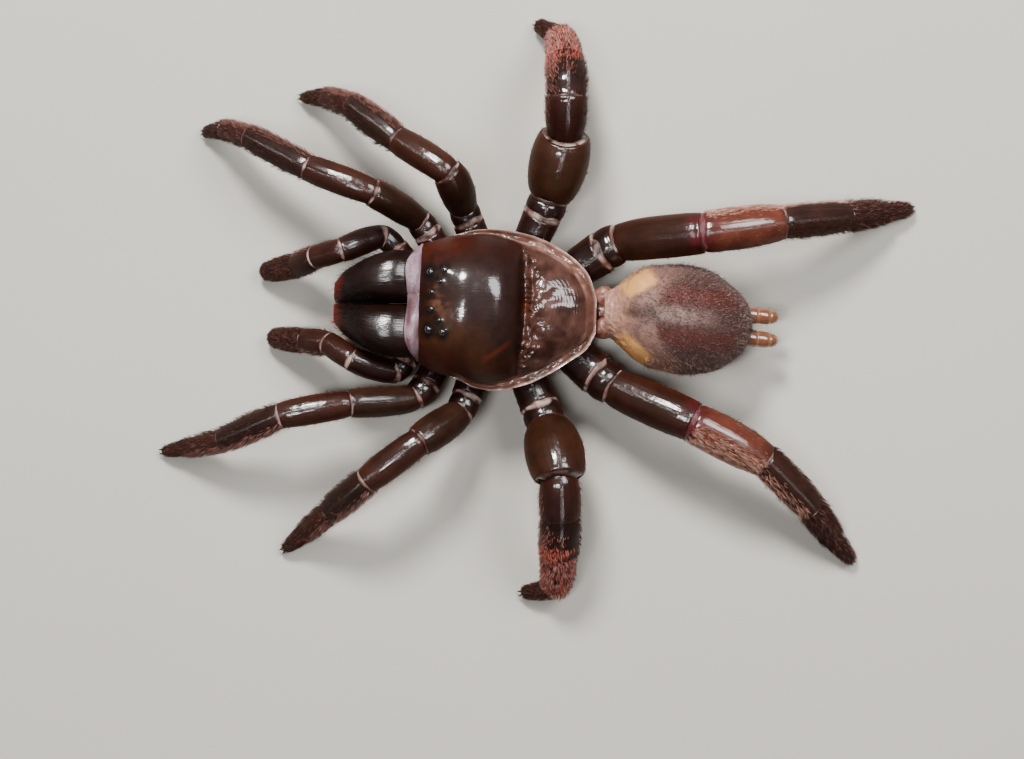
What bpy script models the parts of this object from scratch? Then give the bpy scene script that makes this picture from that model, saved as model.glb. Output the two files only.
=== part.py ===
"""Trapdoor spider, a large female at life size, standing still on the floor.

The head looks along -Y and the back is up. The origin is under the middle of the whole
spider, at floor level. Sizes here are in millimetres, and MM turns them to metres.
"""

import math

import bmesh
import bpy
from mathutils import Vector

MM = 0.001
GAP = 0.3
WELD = 0.000001
SHARP_EDGE = math.radians(40)

# Prosoma, the front half of the body
CARAPACE_BASE = 4.5
RIM_THICKNESS = 0.4
CARAPACE_STATIONS = (
    # y, half width, height of the crest
    (-7.2, 3.55, 7.1),
    (-6.3, 4.05, 7.9),
    (-4.8, 4.4, 8.4),
    (-2.4, 4.85, 8.2),
    (-0.6, 4.6, 7.0),
    (0.8, 3.95, 6.7),
    (2.2, 3.0, 6.3),
    (3.0, 2.2, 5.7),
    (3.45, 1.3, 4.9),
)
CARAPACE_RINGS = 17
CARAPACE_HALF_COLUMNS = 7
CARAPACE_UNDERSIDE = (0.6, 0.2, -0.2, -0.6)
DOME_SQUARENESS = 2.4
DOME_FULLNESS = 0.6
FOVEA_Y = -0.85
FOVEA_DEPTH = 0.6
FOVEA_WIDTH = 0.45
FOVEA_CURVE = 0.025
STERNUM_CENTRE_Y = -2.5
STERNUM_HALF_WIDTH = 2.4
STERNUM_HALF_LENGTH = 4.1
STERNUM_BOTTOM = 1.3
STERNUM_TOP = CARAPACE_BASE - GAP
STERNUM_BELLY = ((0.0, 1.3), (0.12, 0.6), (0.45, 0.0))
STERNUM_SIDES = 28
LABIUM_PLACE = (0.0, -6.7, 1.62)
LABIUM_SIZE = (0.5, 0.75, 0.3)

# Eyes: place from the middle line, and radius
EYE_CENTRE_X = -0.2
EYES = {
    "anterior_lateral": (1.72, -6.55, 0.3),
    "anterior_median": (0.5, -6.42, 0.22),
    "posterior_median": (1.16, -5.95, 0.2),
    "posterior_lateral": (1.85, -5.7, 0.27),
}
EYE_SINK = 0.12
BALL_COLUMNS = 10
BALL_ROWS = 6

# Chelicerae and fangs
CHELICERA_STATIONS = (
    # y, x of the middle, half width, height of the middle, half height
    (-7.5, 1.72, 1.48, 5.3, 1.5),
    (-8.9, 1.72, 1.52, 5.35, 1.85),
    (-10.4, 1.48, 1.3, 4.9, 2.05),
    (-11.3, 1.24, 1.04, 4.3, 1.9),
    (-12.0, 1.0, 0.74, 3.75, 1.45),
    (-12.5, 0.85, 0.36, 3.45, 0.8),
)
CHELICERA_RINGS = 9
CHELICERA_SIDES = 14
FANG_PATH = ((1.1, -11.7, 3.0), (1.12, -12.0, 2.0), (1.12, -11.5, 1.25), (1.1, -10.5, 0.85))
FANG_RADII = (0.5, 0.42, 0.32, 0.12)
FANG_CLEARANCE = 1.6

# Rastellum, the row of digging spines: its inner root, and what its outer root adds
RASTELLUM_SPINES = 6
RASTELLUM_ROOT = (0.45, -11.85, 4.35)
RASTELLUM_SPREAD = (1.3, 0.75, -0.15)
RASTELLUM_WAY = (0.12, -0.8, 0.15)
RASTELLUM_PROFILE = ((0.0, 0.26), (0.6, 0.18), (1.0, 0.05))

# Pedicel, abdomen and spinnerets
PEDICEL_RADIUS = 0.75
PEDICEL_WAIST = 0.68
PEDICEL_HEIGHT = 3.1
PEDICEL_ROOT = 0.5
ABDOMEN_TURN = math.radians(3.2)
ABDOMEN_CENTRE_Z = 3.95
ABDOMEN_FLATNESS = 0.92
ABDOMEN_STATIONS = (
    # y, half width
    (4.0, 1.2),
    (4.9, 1.85),
    (6.1, 2.8),
    (7.3, 3.1),
    (9.1, 3.25),
    (10.7, 2.9),
    (11.8, 2.2),
    (12.6, 1.35),
    (13.0, 0.5),
)
ABDOMEN_RINGS = 14
ABDOMEN_SIDES = 18
SPINNERET_LATERAL = dict(side=0.72, height=3.1, length=2.6, radius=0.54, droop=0.35)
SPINNERET_MEDIAN = dict(side=0.42, height=2.05, length=1.35, radius=0.26, droop=0.2)
SPINNERET_ROOT_Y = 12.2
SPINNERET_PROFILE = (
    # share of the length, share of the radius
    (0.0, 1.0),
    (0.45, 1.0),
    (0.55, 0.82),
    (0.6, 0.92),
    (0.8, 0.82),
    (0.95, 0.6),
    (1.0, 0.3),
)

# Limbs: radii at the start, middle and end of each part, from the body outwards
LIMB_RADII = {
    "leg_1": dict(
        coxa=(0.55, 0.8, 0.9), trochanter=(0.85, 0.9, 0.78), femur=(0.72, 0.92, 0.84),
        patella=(0.76, 0.9, 0.78), tibia=(0.74, 0.84, 0.7), metatarsus=(0.62, 0.64, 0.54),
        tarsus=(0.5, 0.5, 0.4),
    ),
    "leg_2": dict(
        coxa=(0.75, 0.95, 0.95), trochanter=(0.88, 0.95, 0.85), femur=(0.8, 1.1, 0.92),
        patella=(0.82, 0.95, 0.82), tibia=(0.78, 0.9, 0.74), metatarsus=(0.66, 0.68, 0.55),
        tarsus=(0.5, 0.5, 0.4),
    ),
    "leg_3": dict(
        coxa=(0.8, 1.05, 1.18), trochanter=(1.1, 1.25, 1.1), femur=(1.1, 1.8, 1.45),
        patella=(0.98, 1.26, 1.2), tibia=(1.14, 1.22, 1.15), metatarsus=(1.02, 1.0, 0.76),
        tarsus=(0.62, 0.6, 0.42),
    ),
    "leg_4": dict(
        coxa=(0.9, 1.18, 1.32), trochanter=(1.2, 1.3, 1.15), femur=(1.1, 1.32, 1.22),
        patella=(1.15, 1.28, 1.0), tibia=(0.94, 1.02, 0.86), metatarsus=(0.78, 0.78, 0.64),
        tarsus=(0.58, 0.56, 0.44),
    ),
    "palp": dict(
        coxa=(0.5, 0.66, 0.76), trochanter=(0.7, 0.75, 0.68), femur=(0.66, 0.8, 0.74),
        patella=(0.7, 0.76, 0.7), tibia=(0.7, 0.8, 0.74), tarsus=(0.66, 0.7, 0.46),
    ),
}

# Real lengths from the femur outwards, shared by the right and left limb
LIMB_LENGTHS = {
    "leg_1": (4.25, 4.2, 4.6, 2.9, 2.0),
    "leg_2": (3.8, 3.85, 3.95, 2.9, 2.05),
    "leg_3": (4.25, 2.5, 2.95, 3.5, 2.15),
    "leg_4": (5.5, 4.95, 4.7, 2.8, 2.25),
    "palp": (2.9, 1.95, 2.1, 3.0),
}

# Where each coxa leaves the sternum, as an angle round its ellipse from the front
COXA_ANGLES = {"palp": 19.0, "leg_1": 48.0, "leg_2": 77.0, "leg_3": 107.0, "leg_4": 144.0}

# Stance of each limb: the hip is the start of the femur, headings go from straight
# ahead outwards in degrees, and heights are those of the joints from the hip on
STANCE = {
    "leg_1_right": dict(
        hip=(5.16, -7.52), headings=(28, 19, 26, 18, -3), heights=(3.4, 6.3, 5.8, 4.0, 1.8),
    ),
    "leg_1_left": dict(
        hip=(5.61, -7.3), headings=(8, 12, 24, 15, 11), heights=(3.4, 4.9, 5.15, 3.0, 1.2),
    ),
    "leg_2_right": dict(
        hip=(6.06, -4.86), headings=(64, 32, 35, 20, 4), heights=(3.4, 6.55, 5.4, 3.9, 1.7),
    ),
    "leg_2_left": dict(
        hip=(6.4, -4.55), headings=(38, 39, 42, 42, 41), heights=(3.4, 5.7, 5.6, 3.2, 1.3),
    ),
    "leg_3_right": dict(
        hip=(6.82, 0.38), headings=(102, 90, 87, 78, 33), heights=(3.4, 5.3, 6.5, 4.65, 1.75),
    ),
    "leg_3_left": dict(
        hip=(7.0, 0.79), headings=(105, 94, 91, 86, 14), heights=(3.4, 6.3, 5.4, 3.6, 1.1),
    ),
    "leg_4_right": dict(
        hip=(4.26, 4.69), headings=(172, 170, 171, 169, 171), heights=(3.4, 5.6, 4.8, 2.8, 1.2),
    ),
    "leg_4_left": dict(
        hip=(4.48, 4.72), headings=(158, 154, 138, 131, 132), heights=(3.4, 5.1, 4.5, 2.7, 1.1),
    ),
    "palp_right": dict(
        hip=(4.12, -9.7), headings=(-22, -16, -20, -12), heights=(3.5, 4.9, 3.9, 2.3),
    ),
    "palp_left": dict(
        hip=(4.1, -8.62), headings=(-14, -30, -6, -4), heights=(3.5, 4.6, 3.7, 2.3),
    ),
}
COXA_HEIGHT = 2.6
COXA_START = -0.5
COXA_SHARES = (0.12, 0.4)
TROCHANTER_SHARE = 0.3
CREASE_WIDTH = 0.08
CREASE = 0.84
FOOT_HEIGHT = 0.38
JOINT_BEND = 0.45
JOINT_LIP = 0.82
LIP_SHARE = 0.42
TRIM = 0.03
SINGLE_SHARES = (0.3, 0.5, 0.7)
DOUBLE_SHARES = (0.5,)
PALP_TARSUS_SHARES = (0.35, 0.65)
CLAW_RADIUS = 0.25
CLAW_PROFILE = (
    # from the tip of the foot forwards, sideways, upwards, share of the radius
    (-0.45, 0.12, 0.0, 1.0),
    (-0.2, 0.12, 0.1, 1.0),
    (0.13, 0.24, 0.22, 0.8),
    (0.35, 0.32, 0.0, 0.25),
)
FLOOR_SIZE = 60.0


# Helpers


def clear_scene():
    for item in list(bpy.data.objects):
        bpy.data.objects.remove(item, do_unlink=True)


def new_collection(name):
    group = bpy.data.collections.new(name)
    bpy.context.scene.collection.children.link(group)
    return group


def make_material(name, colour, roughness, metallic=0.0):
    material = bpy.data.materials.new(name)
    material.use_nodes = True
    shader = material.node_tree.nodes["Principled BSDF"]
    shader.inputs["Base Color"].default_value = (*colour, 1.0)
    shader.inputs["Roughness"].default_value = roughness
    shader.inputs["Metallic"].default_value = metallic
    return material


def add_object(name, mesh, group):
    item = bpy.data.objects.new(name, mesh)
    group.objects.link(item)
    return item


def finish_part(item, material):
    item.data.materials.clear()
    item.data.materials.append(material)
    item.data.shade_smooth()
    item.data.set_sharp_from_angle(angle=SHARP_EDGE)


def smooth_between(stations, at):
    """Reads a row of stations, whose first value is the place, as a smooth curve."""
    places = [row[0] for row in stations]
    at = min(max(at, places[0]), places[-1])
    index = max(i for i in range(len(places) - 1) if places[i] <= at)
    low, high = stations[index], stations[index + 1]
    before = stations[max(index - 1, 0)]
    after = stations[min(index + 2, len(stations) - 1)]
    span = high[0] - low[0]
    t = (at - low[0]) / span
    values = []
    for k in range(1, len(low)):
        slope_low = (high[k] - before[k]) / (high[0] - before[0]) * span
        slope_high = (after[k] - low[k]) / (after[0] - low[0]) * span
        values.append(
            low[k] * (2 * t**3 - 3 * t**2 + 1) + slope_low * (t**3 - 2 * t**2 + t)
            + high[k] * (3 * t**2 - 2 * t**3) + slope_high * (t**3 - t**2)
        )
    return values


def loft(name, rings, group):
    """Skins closed rings of equal length and closes both ends with a flat face."""
    build = bmesh.new()
    rows = [[build.verts.new(Vector(p) * MM) for p in ring] for ring in rings]
    count = len(rows[0])
    for low, high in zip(rows, rows[1:]):
        for k in range(count):
            n = (k + 1) % count
            build.faces.new((low[k], low[n], high[n], high[k]))
    build.faces.new(list(reversed(rows[0])))
    build.faces.new(rows[-1])
    bmesh.ops.recalc_face_normals(build, faces=build.faces)
    mesh = bpy.data.meshes.new(name)
    build.to_mesh(mesh)
    build.free()
    return add_object(name, mesh, group)


def tube(name, points, radii, resolution, group):
    """A round tube through points, made as a curve and turned to a closed mesh."""
    curve = bpy.data.curves.new(name, "CURVE")
    curve.dimensions = "3D"
    curve.bevel_depth = MM
    curve.bevel_resolution = resolution
    curve.use_fill_caps = True
    spline = curve.splines.new("POLY")
    spline.points.add(len(points) - 1)
    for slot, place, radius in zip(spline.points, points, radii):
        slot.co = (*(Vector(place) * MM), 1.0)
        slot.radius = radius
    guide = add_object(name + "_path", curve, group)
    bpy.context.view_layer.update()
    evaluated = guide.evaluated_get(bpy.context.evaluated_depsgraph_get())
    mesh = bpy.data.meshes.new_from_object(evaluated)
    mesh.name = name
    build = bmesh.new()
    build.from_mesh(mesh)
    bmesh.ops.remove_doubles(build, verts=build.verts, dist=WELD)
    bmesh.ops.recalc_face_normals(build, faces=build.faces)
    build.to_mesh(mesh)
    build.free()
    item = add_object(name, mesh, group)
    item.matrix_world = guide.matrix_world.copy()
    bpy.data.objects.remove(guide, do_unlink=True)
    return item


def apply_boolean(item, operation, cutters):
    """Joins or cuts with a list of closed objects, then removes them."""
    group = new_collection(item.name + "_tools")
    for cutter in cutters:
        for owner in list(cutter.users_collection):
            owner.objects.unlink(cutter)
        group.objects.link(cutter)
    step = item.modifiers.new(operation.lower(), "BOOLEAN")
    step.operation = operation
    step.operand_type = "COLLECTION"
    step.collection = group
    step.solver = "EXACT"
    bpy.context.view_layer.update()
    evaluated = item.evaluated_get(bpy.context.evaluated_depsgraph_get())
    mesh = bpy.data.meshes.new_from_object(evaluated)
    item.modifiers.clear()
    item.data = mesh
    for cutter in list(group.objects):
        bpy.data.objects.remove(cutter, do_unlink=True)
    bpy.data.collections.remove(group)
    keep_largest(item)


def keep_largest(item):
    """Welds the mesh and keeps only its largest closed surface."""
    build = bmesh.new()
    build.from_mesh(item.data)
    bmesh.ops.remove_doubles(build, verts=build.verts, dist=WELD)
    bmesh.ops.dissolve_degenerate(build, edges=build.edges, dist=WELD)
    left = set(build.verts)
    pieces = []
    while left:
        piece = set()
        waiting = [left.pop()]
        while waiting:
            vert = waiting.pop()
            piece.add(vert)
            for edge in vert.link_edges:
                other = edge.other_vert(vert)
                if other in left:
                    left.discard(other)
                    waiting.append(other)
        pieces.append(piece)
    largest = max(pieces, key=len)
    loose = [vert for vert in build.verts if vert not in largest]
    bmesh.ops.delete(build, geom=loose, context="VERTS")
    build.to_mesh(item.data)
    build.free()


# Prosoma


def carapace_height(x, y, half_width, crest):
    """Height of the back: a high front dome, the cross groove, and a low rear slope."""
    share = min(abs(x) / half_width, 1.0)
    top = CARAPACE_BASE + RIM_THICKNESS
    dome = (1.0 - share**DOME_SQUARENESS) ** DOME_FULLNESS
    groove_line = FOVEA_Y - FOVEA_CURVE * x * x
    groove = FOVEA_DEPTH * math.exp(-(((y - groove_line) / FOVEA_WIDTH) ** 2))
    return top + (crest - top) * dome - groove * dome


def carapace_ring(y):
    half_width, crest = smooth_between(CARAPACE_STATIONS, y)
    across = CARAPACE_HALF_COLUMNS
    ring = [(-half_width, y, CARAPACE_BASE)]
    for k in range(-across, across + 1):
        x = half_width * math.sin(math.pi / 2 * k / across)
        ring.append((x, y, carapace_height(x, y, half_width, crest)))
    ring.append((half_width, y, CARAPACE_BASE))
    for share in CARAPACE_UNDERSIDE:
        ring.append((half_width * share, y, CARAPACE_BASE))
    return ring


def make_carapace(group, cuticle):
    front = CARAPACE_STATIONS[0][0]
    back = CARAPACE_STATIONS[-1][0]
    steps = CARAPACE_RINGS - 1
    rings = []
    for k in range(CARAPACE_RINGS):
        share = math.sin(math.pi / 2 * k / steps) if k > steps / 2 else k / steps * math.sqrt(2)
        rings.append(carapace_ring(front + (back - front) * min(share, 1.0)))
    item = loft("carapace", rings, group)
    sockets = [ball("socket", place, radius + GAP, group) for _, place, radius in eye_places()]
    apply_boolean(item, "DIFFERENCE", sockets)
    finish_part(item, cuticle)


def eye_places():
    """Each eye sits on the carapace, sunk a little below its surface."""
    for kind, (side, y, radius) in EYES.items():
        for label, sign in (("right", -1), ("left", 1)):
            x = EYE_CENTRE_X + sign * side
            half_width, crest = smooth_between(CARAPACE_STATIONS, y)
            z = carapace_height(x, y, half_width, crest) - EYE_SINK + GAP / 2
            yield f"eye_{kind}_{label}", (x, y, z), radius


def ball(name, place, radius, group):
    build = bmesh.new()
    bmesh.ops.create_uvsphere(
        build, u_segments=BALL_COLUMNS, v_segments=BALL_ROWS, radius=radius * MM,
    )
    bmesh.ops.translate(build, verts=build.verts, vec=Vector(place) * MM)
    mesh = bpy.data.meshes.new(name)
    build.to_mesh(mesh)
    build.free()
    return add_object(name, mesh, group)


def make_eyes(group, glassy):
    for name, place, radius in eye_places():
        finish_part(ball(name, place, radius, group), glassy)


def sternum_block(name, grow, group):
    """An upright oval block, from the sternum below to the carapace above."""
    rings = []
    levels = [(STERNUM_BOTTOM + rise - grow, inset) for rise, inset in STERNUM_BELLY]
    levels.append((STERNUM_TOP + grow, 0.0))
    for z, inset in levels:
        ring = []
        for k in range(STERNUM_SIDES):
            turn = math.tau * k / STERNUM_SIDES
            x = (STERNUM_HALF_WIDTH + grow - inset) * math.sin(turn)
            y = STERNUM_CENTRE_Y - (STERNUM_HALF_LENGTH + grow - inset) * math.cos(turn)
            ring.append((x, y, z))
        rings.append(ring)
    return loft(name, rings, group)


def make_sternum(group, cuticle):
    """The plate between the coxae, with the lip at its front."""
    item = sternum_block("sternum", 0.0, group)
    lip = ball("labium", (0, 0, 0), 1.0, group)
    for vert in lip.data.vertices:
        vert.co = Vector([
            vert.co[k] * LABIUM_SIZE[k] + LABIUM_PLACE[k] * MM for k in range(3)
        ])
    apply_boolean(item, "UNION", [lip])
    finish_part(item, cuticle)


# Chelicerae and fangs


def chelicera_body(name, sign, grow, group):
    front = CHELICERA_STATIONS[-1][0]
    base = CHELICERA_STATIONS[0][0]
    rows = sorted(CHELICERA_STATIONS)
    rings = []
    for k in range(CHELICERA_RINGS):
        share = math.sin(math.pi / 2 * k / (CHELICERA_RINGS - 1))
        y = base + (front - base) * share
        middle, half_width, height, half_height = smooth_between(rows, y)
        ring = []
        for n in range(CHELICERA_SIDES):
            turn = math.tau * n / CHELICERA_SIDES
            x = sign * middle + (half_width + grow) * math.cos(turn)
            z = height + (half_height + grow) * math.sin(turn)
            ring.append((x, y - grow * share, z))
        rings.append(ring)
    return loft(name, rings, group)


def make_chelicera(side, sign, group, cuticle):
    item = chelicera_body(f"chelicera_{side}", sign, 0.0, group)
    mirror = Vector((sign, 1, 1))
    spines = []
    for k in range(RASTELLUM_SPINES):
        share = k / (RASTELLUM_SPINES - 1)
        spread = Vector((share, share**2, share))
        root = (Vector(RASTELLUM_ROOT) + Vector(RASTELLUM_SPREAD) * spread) * mirror
        points = [root + Vector(RASTELLUM_WAY) * mirror * along for along, _ in RASTELLUM_PROFILE]
        radii = [radius for _, radius in RASTELLUM_PROFILE]
        spines.append(tube(f"spine_{side}_{k}", points, radii, 1, group))
    apply_boolean(item, "UNION", spines)
    finish_part(item, cuticle)


def make_fang(side, sign, group, horn):
    points = [(sign * x, y, z) for x, y, z in FANG_PATH]
    item = tube(f"fang_{side}", points, FANG_RADII, 2, group)
    socket = chelicera_body("fang_socket", sign, GAP * FANG_CLEARANCE, group)
    apply_boolean(item, "DIFFERENCE", [socket])
    finish_part(item, horn)


# Limbs


def swell(share, radii):
    start, middle, end = radii
    return (
        start * (1 - share) * (1 - 2 * share) + middle * 4 * share * (1 - share)
        + end * share * (2 * share - 1)
    )


def limb_joints(limb, side):
    """Places of the joints from the sternum to the tip, and the way through each."""
    sign = -1 if side == "right" else 1
    stance = STANCE[f"{limb}_{side}"]
    turn = math.radians(COXA_ANGLES[limb])
    out = Vector((
        sign * math.sin(turn) / STERNUM_HALF_WIDTH, -math.cos(turn) / STERNUM_HALF_LENGTH, 0,
    )).normalized()
    root = Vector((
        sign * STERNUM_HALF_WIDTH * math.sin(turn),
        STERNUM_CENTRE_Y - STERNUM_HALF_LENGTH * math.cos(turn),
        COXA_HEIGHT,
    ))
    heights = (*stance["heights"], FOOT_HEIGHT)
    places = [root, Vector((sign * stance["hip"][0], stance["hip"][1], heights[0]))]
    for length, heading, low, high in zip(
        LIMB_LENGTHS[limb], stance["headings"], heights, heights[1:]
    ):
        rise = high - low
        reach = math.sqrt(length**2 - rise**2)
        angle = math.radians(heading)
        step = Vector((sign * math.sin(angle) * reach, -math.cos(angle) * reach, rise))
        places.append(places[-1] + step)
    steps = [(b - a).normalized() for a, b in zip(places, places[1:])]
    ways = [out]
    for before, after in zip(steps, steps[1:]):
        ways.append((before + after).normalized())
    ways.append(steps[-1])
    return places, ways


def part_axis(places, ways, index, share):
    """Point on the smooth middle line between two joints."""
    low, high = places[index], places[index + 1]
    pull = JOINT_BEND * (high - low).length
    t = share
    return (
        low * (2 * t**3 - 3 * t**2 + 1) + ways[index] * pull * (t**3 - 2 * t**2 + t)
        + high * (3 * t**2 - 2 * t**3) + ways[index + 1] * pull * (t**3 - t**2)
    )


def trim(item, place, way):
    """Cuts off what lies past a joint's face and closes the cut."""
    build = bmesh.new()
    build.from_mesh(item.data)
    everything = build.verts[:] + build.edges[:] + build.faces[:]
    bmesh.ops.bisect_plane(
        build, geom=everything, plane_co=place * MM, plane_no=way, clear_outer=True,
        dist=WELD / 10,
    )
    rim = [edge for edge in build.edges if edge.is_boundary]
    bmesh.ops.edgeloop_fill(build, edges=rim)
    bmesh.ops.recalc_face_normals(build, faces=build.faces)
    build.to_mesh(item.data)
    build.free()


def trim_joints(item, joints, first, last):
    """Squares both ends of a limb part, half a gap from its joints."""
    places, ways = joints
    if first is not None:
        trim(item, places[first] + ways[first] * (GAP / 2 + TRIM), -ways[first])
    if last is not None:
        trim(item, places[last] - ways[last] * (GAP / 2 + TRIM), ways[last])


def part_rings(joints, index, radii, shares, gap_start=GAP / 2, gap_end=GAP / 2):
    """Middle line and radii of one part, square to the way through each joint."""
    places, ways = joints
    length = (places[index + 1] - places[index]).length
    points = []
    sizes = []
    for back in (gap_start, gap_start + LIP_SHARE * radii[0]):
        points.append(places[index] + ways[index] * back)
        sizes.append(swell(back / length, radii))
    for share in shares:
        points.append(part_axis(places, ways, index, share))
        sizes.append(swell(share, radii))
    for back in (gap_end + LIP_SHARE * radii[2], gap_end):
        points.append(places[index + 1] - ways[index + 1] * back)
        sizes.append(swell(1 - back / length, radii))
    return points, sizes


def make_hip(limb, side, joints, group, cuticle):
    """Coxa and trochanter, cut clear of the sternum."""
    places, ways = joints
    radii = LIMB_RADII[limb]
    crease = 1 - TROCHANTER_SHARE
    points = [places[0] + ways[0] * COXA_START]
    sizes = [radii["coxa"][0]]
    for share in (*COXA_SHARES, crease - CREASE_WIDTH, crease, crease + CREASE_WIDTH):
        points.append(part_axis(places, ways, 0, share))
        if share < crease:
            size = swell(share / crease, radii["coxa"])
        elif share == crease:
            size = radii["coxa"][2] * CREASE
        else:
            size = swell((share - crease) / TROCHANTER_SHARE, radii["trochanter"])
        sizes.append(size)
    for back in (GAP / 2 + LIP_SHARE * radii["trochanter"][2], GAP / 2):
        points.append(places[1] - ways[1] * back)
        sizes.append(radii["trochanter"][2])
    sizes[-1] *= JOINT_LIP
    item = tube(f"{limb}_{side}_coxa", points, sizes, 2, group)
    trim_joints(item, joints, None, 1)
    block = sternum_block("sternum_clearance", GAP, group)
    apply_boolean(item, "DIFFERENCE", [block])
    finish_part(item, cuticle)


def make_single(name, joints, index, radii, group, cuticle, resolution=3):
    """One limb part between two joints, with a lip at each end."""
    points, sizes = part_rings(joints, index, radii, SINGLE_SHARES)
    sizes[0] *= JOINT_LIP
    sizes[-1] *= JOINT_LIP
    item = tube(name, points, sizes, resolution, group)
    trim_joints(item, joints, index, index + 1)
    finish_part(item, cuticle)


def make_double(name, joints, index, first_radii, second_radii, resolution, group):
    """Two limb parts with a crease at the joint between them."""
    points, sizes = part_rings(joints, index, first_radii, DOUBLE_SHARES, gap_end=0.0)
    sizes[0] *= JOINT_LIP
    sizes[-1] = (first_radii[2] + second_radii[0]) / 2 * CREASE
    more, more_sizes = part_rings(
        joints, index + 1, second_radii, DOUBLE_SHARES, gap_start=0.0,
    )
    more_sizes[-1] *= JOINT_LIP
    item = tube(name, points + more[1:], sizes + more_sizes[1:], resolution, group)
    last = index + 2 if index + 2 < len(joints[0]) - 1 else None
    trim_joints(item, joints, index, last)
    return item


def make_claws(name, joints, group):
    """A pair of curved claws at the tip of a foot."""
    places, ways = joints
    tip = places[-1]
    forward = Vector((ways[-1].x, ways[-1].y, 0)).normalized()
    side = Vector((-forward.y, forward.x, 0))
    claws = []
    for sign in (-1, 1):
        points = []
        sizes = []
        for along, aside, rise, size in CLAW_PROFILE:
            points.append(tip + forward * along + side * sign * aside + Vector((0, 0, rise)))
            sizes.append(CLAW_RADIUS * size)
        claws.append(tube(f"{name}_claw", points, sizes, 1, group))
    return claws


def floor_cutter(group):
    """A wide block under the floor, which leaves a small flat under each foot."""
    build = bmesh.new()
    bmesh.ops.create_cube(build, size=FLOOR_SIZE * MM)
    bmesh.ops.translate(build, verts=build.verts, vec=(0, 0, -FLOOR_SIZE / 2 * MM))
    mesh = bpy.data.meshes.new("floor_cutter")
    build.to_mesh(mesh)
    build.free()
    return add_object("floor_cutter", mesh, group)


def make_foot(name, item, joints, claws, group, cuticle):
    if claws:
        apply_boolean(item, "UNION", make_claws(name, joints, group))
    apply_boolean(item, "DIFFERENCE", [floor_cutter(group)])
    finish_part(item, cuticle)


def make_leg(limb, side, group, cuticle, hairy):
    joints = limb_joints(limb, side)
    radii = LIMB_RADII[limb]
    name = f"{limb}_{side}"
    make_hip(limb, side, joints, group, cuticle)
    make_single(f"{name}_femur", joints, 1, radii["femur"], group, cuticle)
    shin = make_double(
        f"{name}_patella_tibia", joints, 2, radii["patella"], radii["tibia"], 3, group
    )
    finish_part(shin, cuticle)
    foot = make_double(
        f"{name}_foot", joints, 4, radii["metatarsus"], radii["tarsus"], 2, group
    )
    make_foot(f"{name}_foot", foot, joints, True, group, hairy)


def make_palp(side, group, cuticle, hairy):
    joints = limb_joints("palp", side)
    radii = LIMB_RADII["palp"]
    name = f"palp_{side}"
    make_hip("palp", side, joints, group, cuticle)
    make_single(f"{name}_femur", joints, 1, radii["femur"], group, cuticle, 2)
    shin = make_double(
        f"{name}_patella_tibia", joints, 2, radii["patella"], radii["tibia"], 2, group
    )
    finish_part(shin, cuticle)
    points, sizes = part_rings(joints, 4, radii["tarsus"], PALP_TARSUS_SHARES, gap_end=0.0)
    sizes[0] *= JOINT_LIP
    sizes[-1] *= JOINT_LIP
    foot = tube(f"{name}_tarsus", points, sizes, 2, group)
    trim_joints(foot, joints, 4, None)
    make_foot(f"{name}_tarsus", foot, joints, False, group, hairy)


# Pedicel, abdomen and spinnerets


def turned(x, y):
    """The abdomen points a little to the left of the body's middle line."""
    start = ABDOMEN_STATIONS[0][0]
    return x + (y - start) * math.tan(ABDOMEN_TURN)


def abdomen_body(name, grow, group):
    front = ABDOMEN_STATIONS[0][0]
    back = ABDOMEN_STATIONS[-1][0]
    rings = []
    for k in range(ABDOMEN_RINGS):
        share = (1 - math.cos(math.pi * k / (ABDOMEN_RINGS - 1))) / 2
        y = front + (back - front) * share
        half_width = smooth_between(ABDOMEN_STATIONS, y)[0] + grow
        ring = []
        for n in range(ABDOMEN_SIDES):
            turn = math.tau * n / ABDOMEN_SIDES
            x = turned(half_width * math.cos(turn), y)
            z = ABDOMEN_CENTRE_Z + half_width * ABDOMEN_FLATNESS * math.sin(turn)
            ring.append((x, y + grow * (2 * share - 1), z))
        rings.append(ring)
    return loft(name, rings, group)


def make_abdomen(group, velvet):
    finish_part(abdomen_body("abdomen", 0.0, group), velvet)


def make_pedicel(group, cuticle):
    back = ABDOMEN_STATIONS[0][0] - GAP
    middle = (STERNUM_CENTRE_Y + STERNUM_HALF_LENGTH + back) / 2
    front = STERNUM_CENTRE_Y + STERNUM_HALF_LENGTH - PEDICEL_ROOT
    points = [(0, front, PEDICEL_HEIGHT), (0, middle, PEDICEL_HEIGHT), (0, back, PEDICEL_HEIGHT)]
    sizes = [PEDICEL_RADIUS, PEDICEL_WAIST, PEDICEL_RADIUS]
    item = tube("pedicel", points, sizes, 3, group)
    block = sternum_block("pedicel_clearance", GAP, group)
    apply_boolean(item, "DIFFERENCE", [block])
    finish_part(item, cuticle)


def make_spinneret(name, sign, sizes, group, skin):
    """Short joints in line, tapering to a blunt tip, cut clear of the abdomen."""
    points = []
    radii = []
    for share, size in SPINNERET_PROFILE:
        y = SPINNERET_ROOT_Y + sizes["length"] * share
        x = turned(sign * sizes["side"], y)
        points.append((x, y, sizes["height"] - sizes["droop"] * share))
        radii.append(sizes["radius"] * size)
    item = tube(name, points, radii, 2, group)
    apply_boolean(item, "DIFFERENCE", [abdomen_body("abdomen_clearance", GAP, group)])
    finish_part(item, skin)


# The whole


def centre_on_floor(parts):
    """Moves all parts so that the origin is under the middle of the whole."""
    corners = [item.matrix_world @ v.co for item in parts.objects for v in item.data.vertices]
    low = Vector([min(c[k] for c in corners) for k in range(3)])
    high = Vector([max(c[k] for c in corners) for k in range(3)])
    shift = Vector(((low.x + high.x) / 2, (low.y + high.y) / 2, low.z))
    for item in parts.objects:
        for vert in item.data.vertices:
            vert.co -= shift


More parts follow.
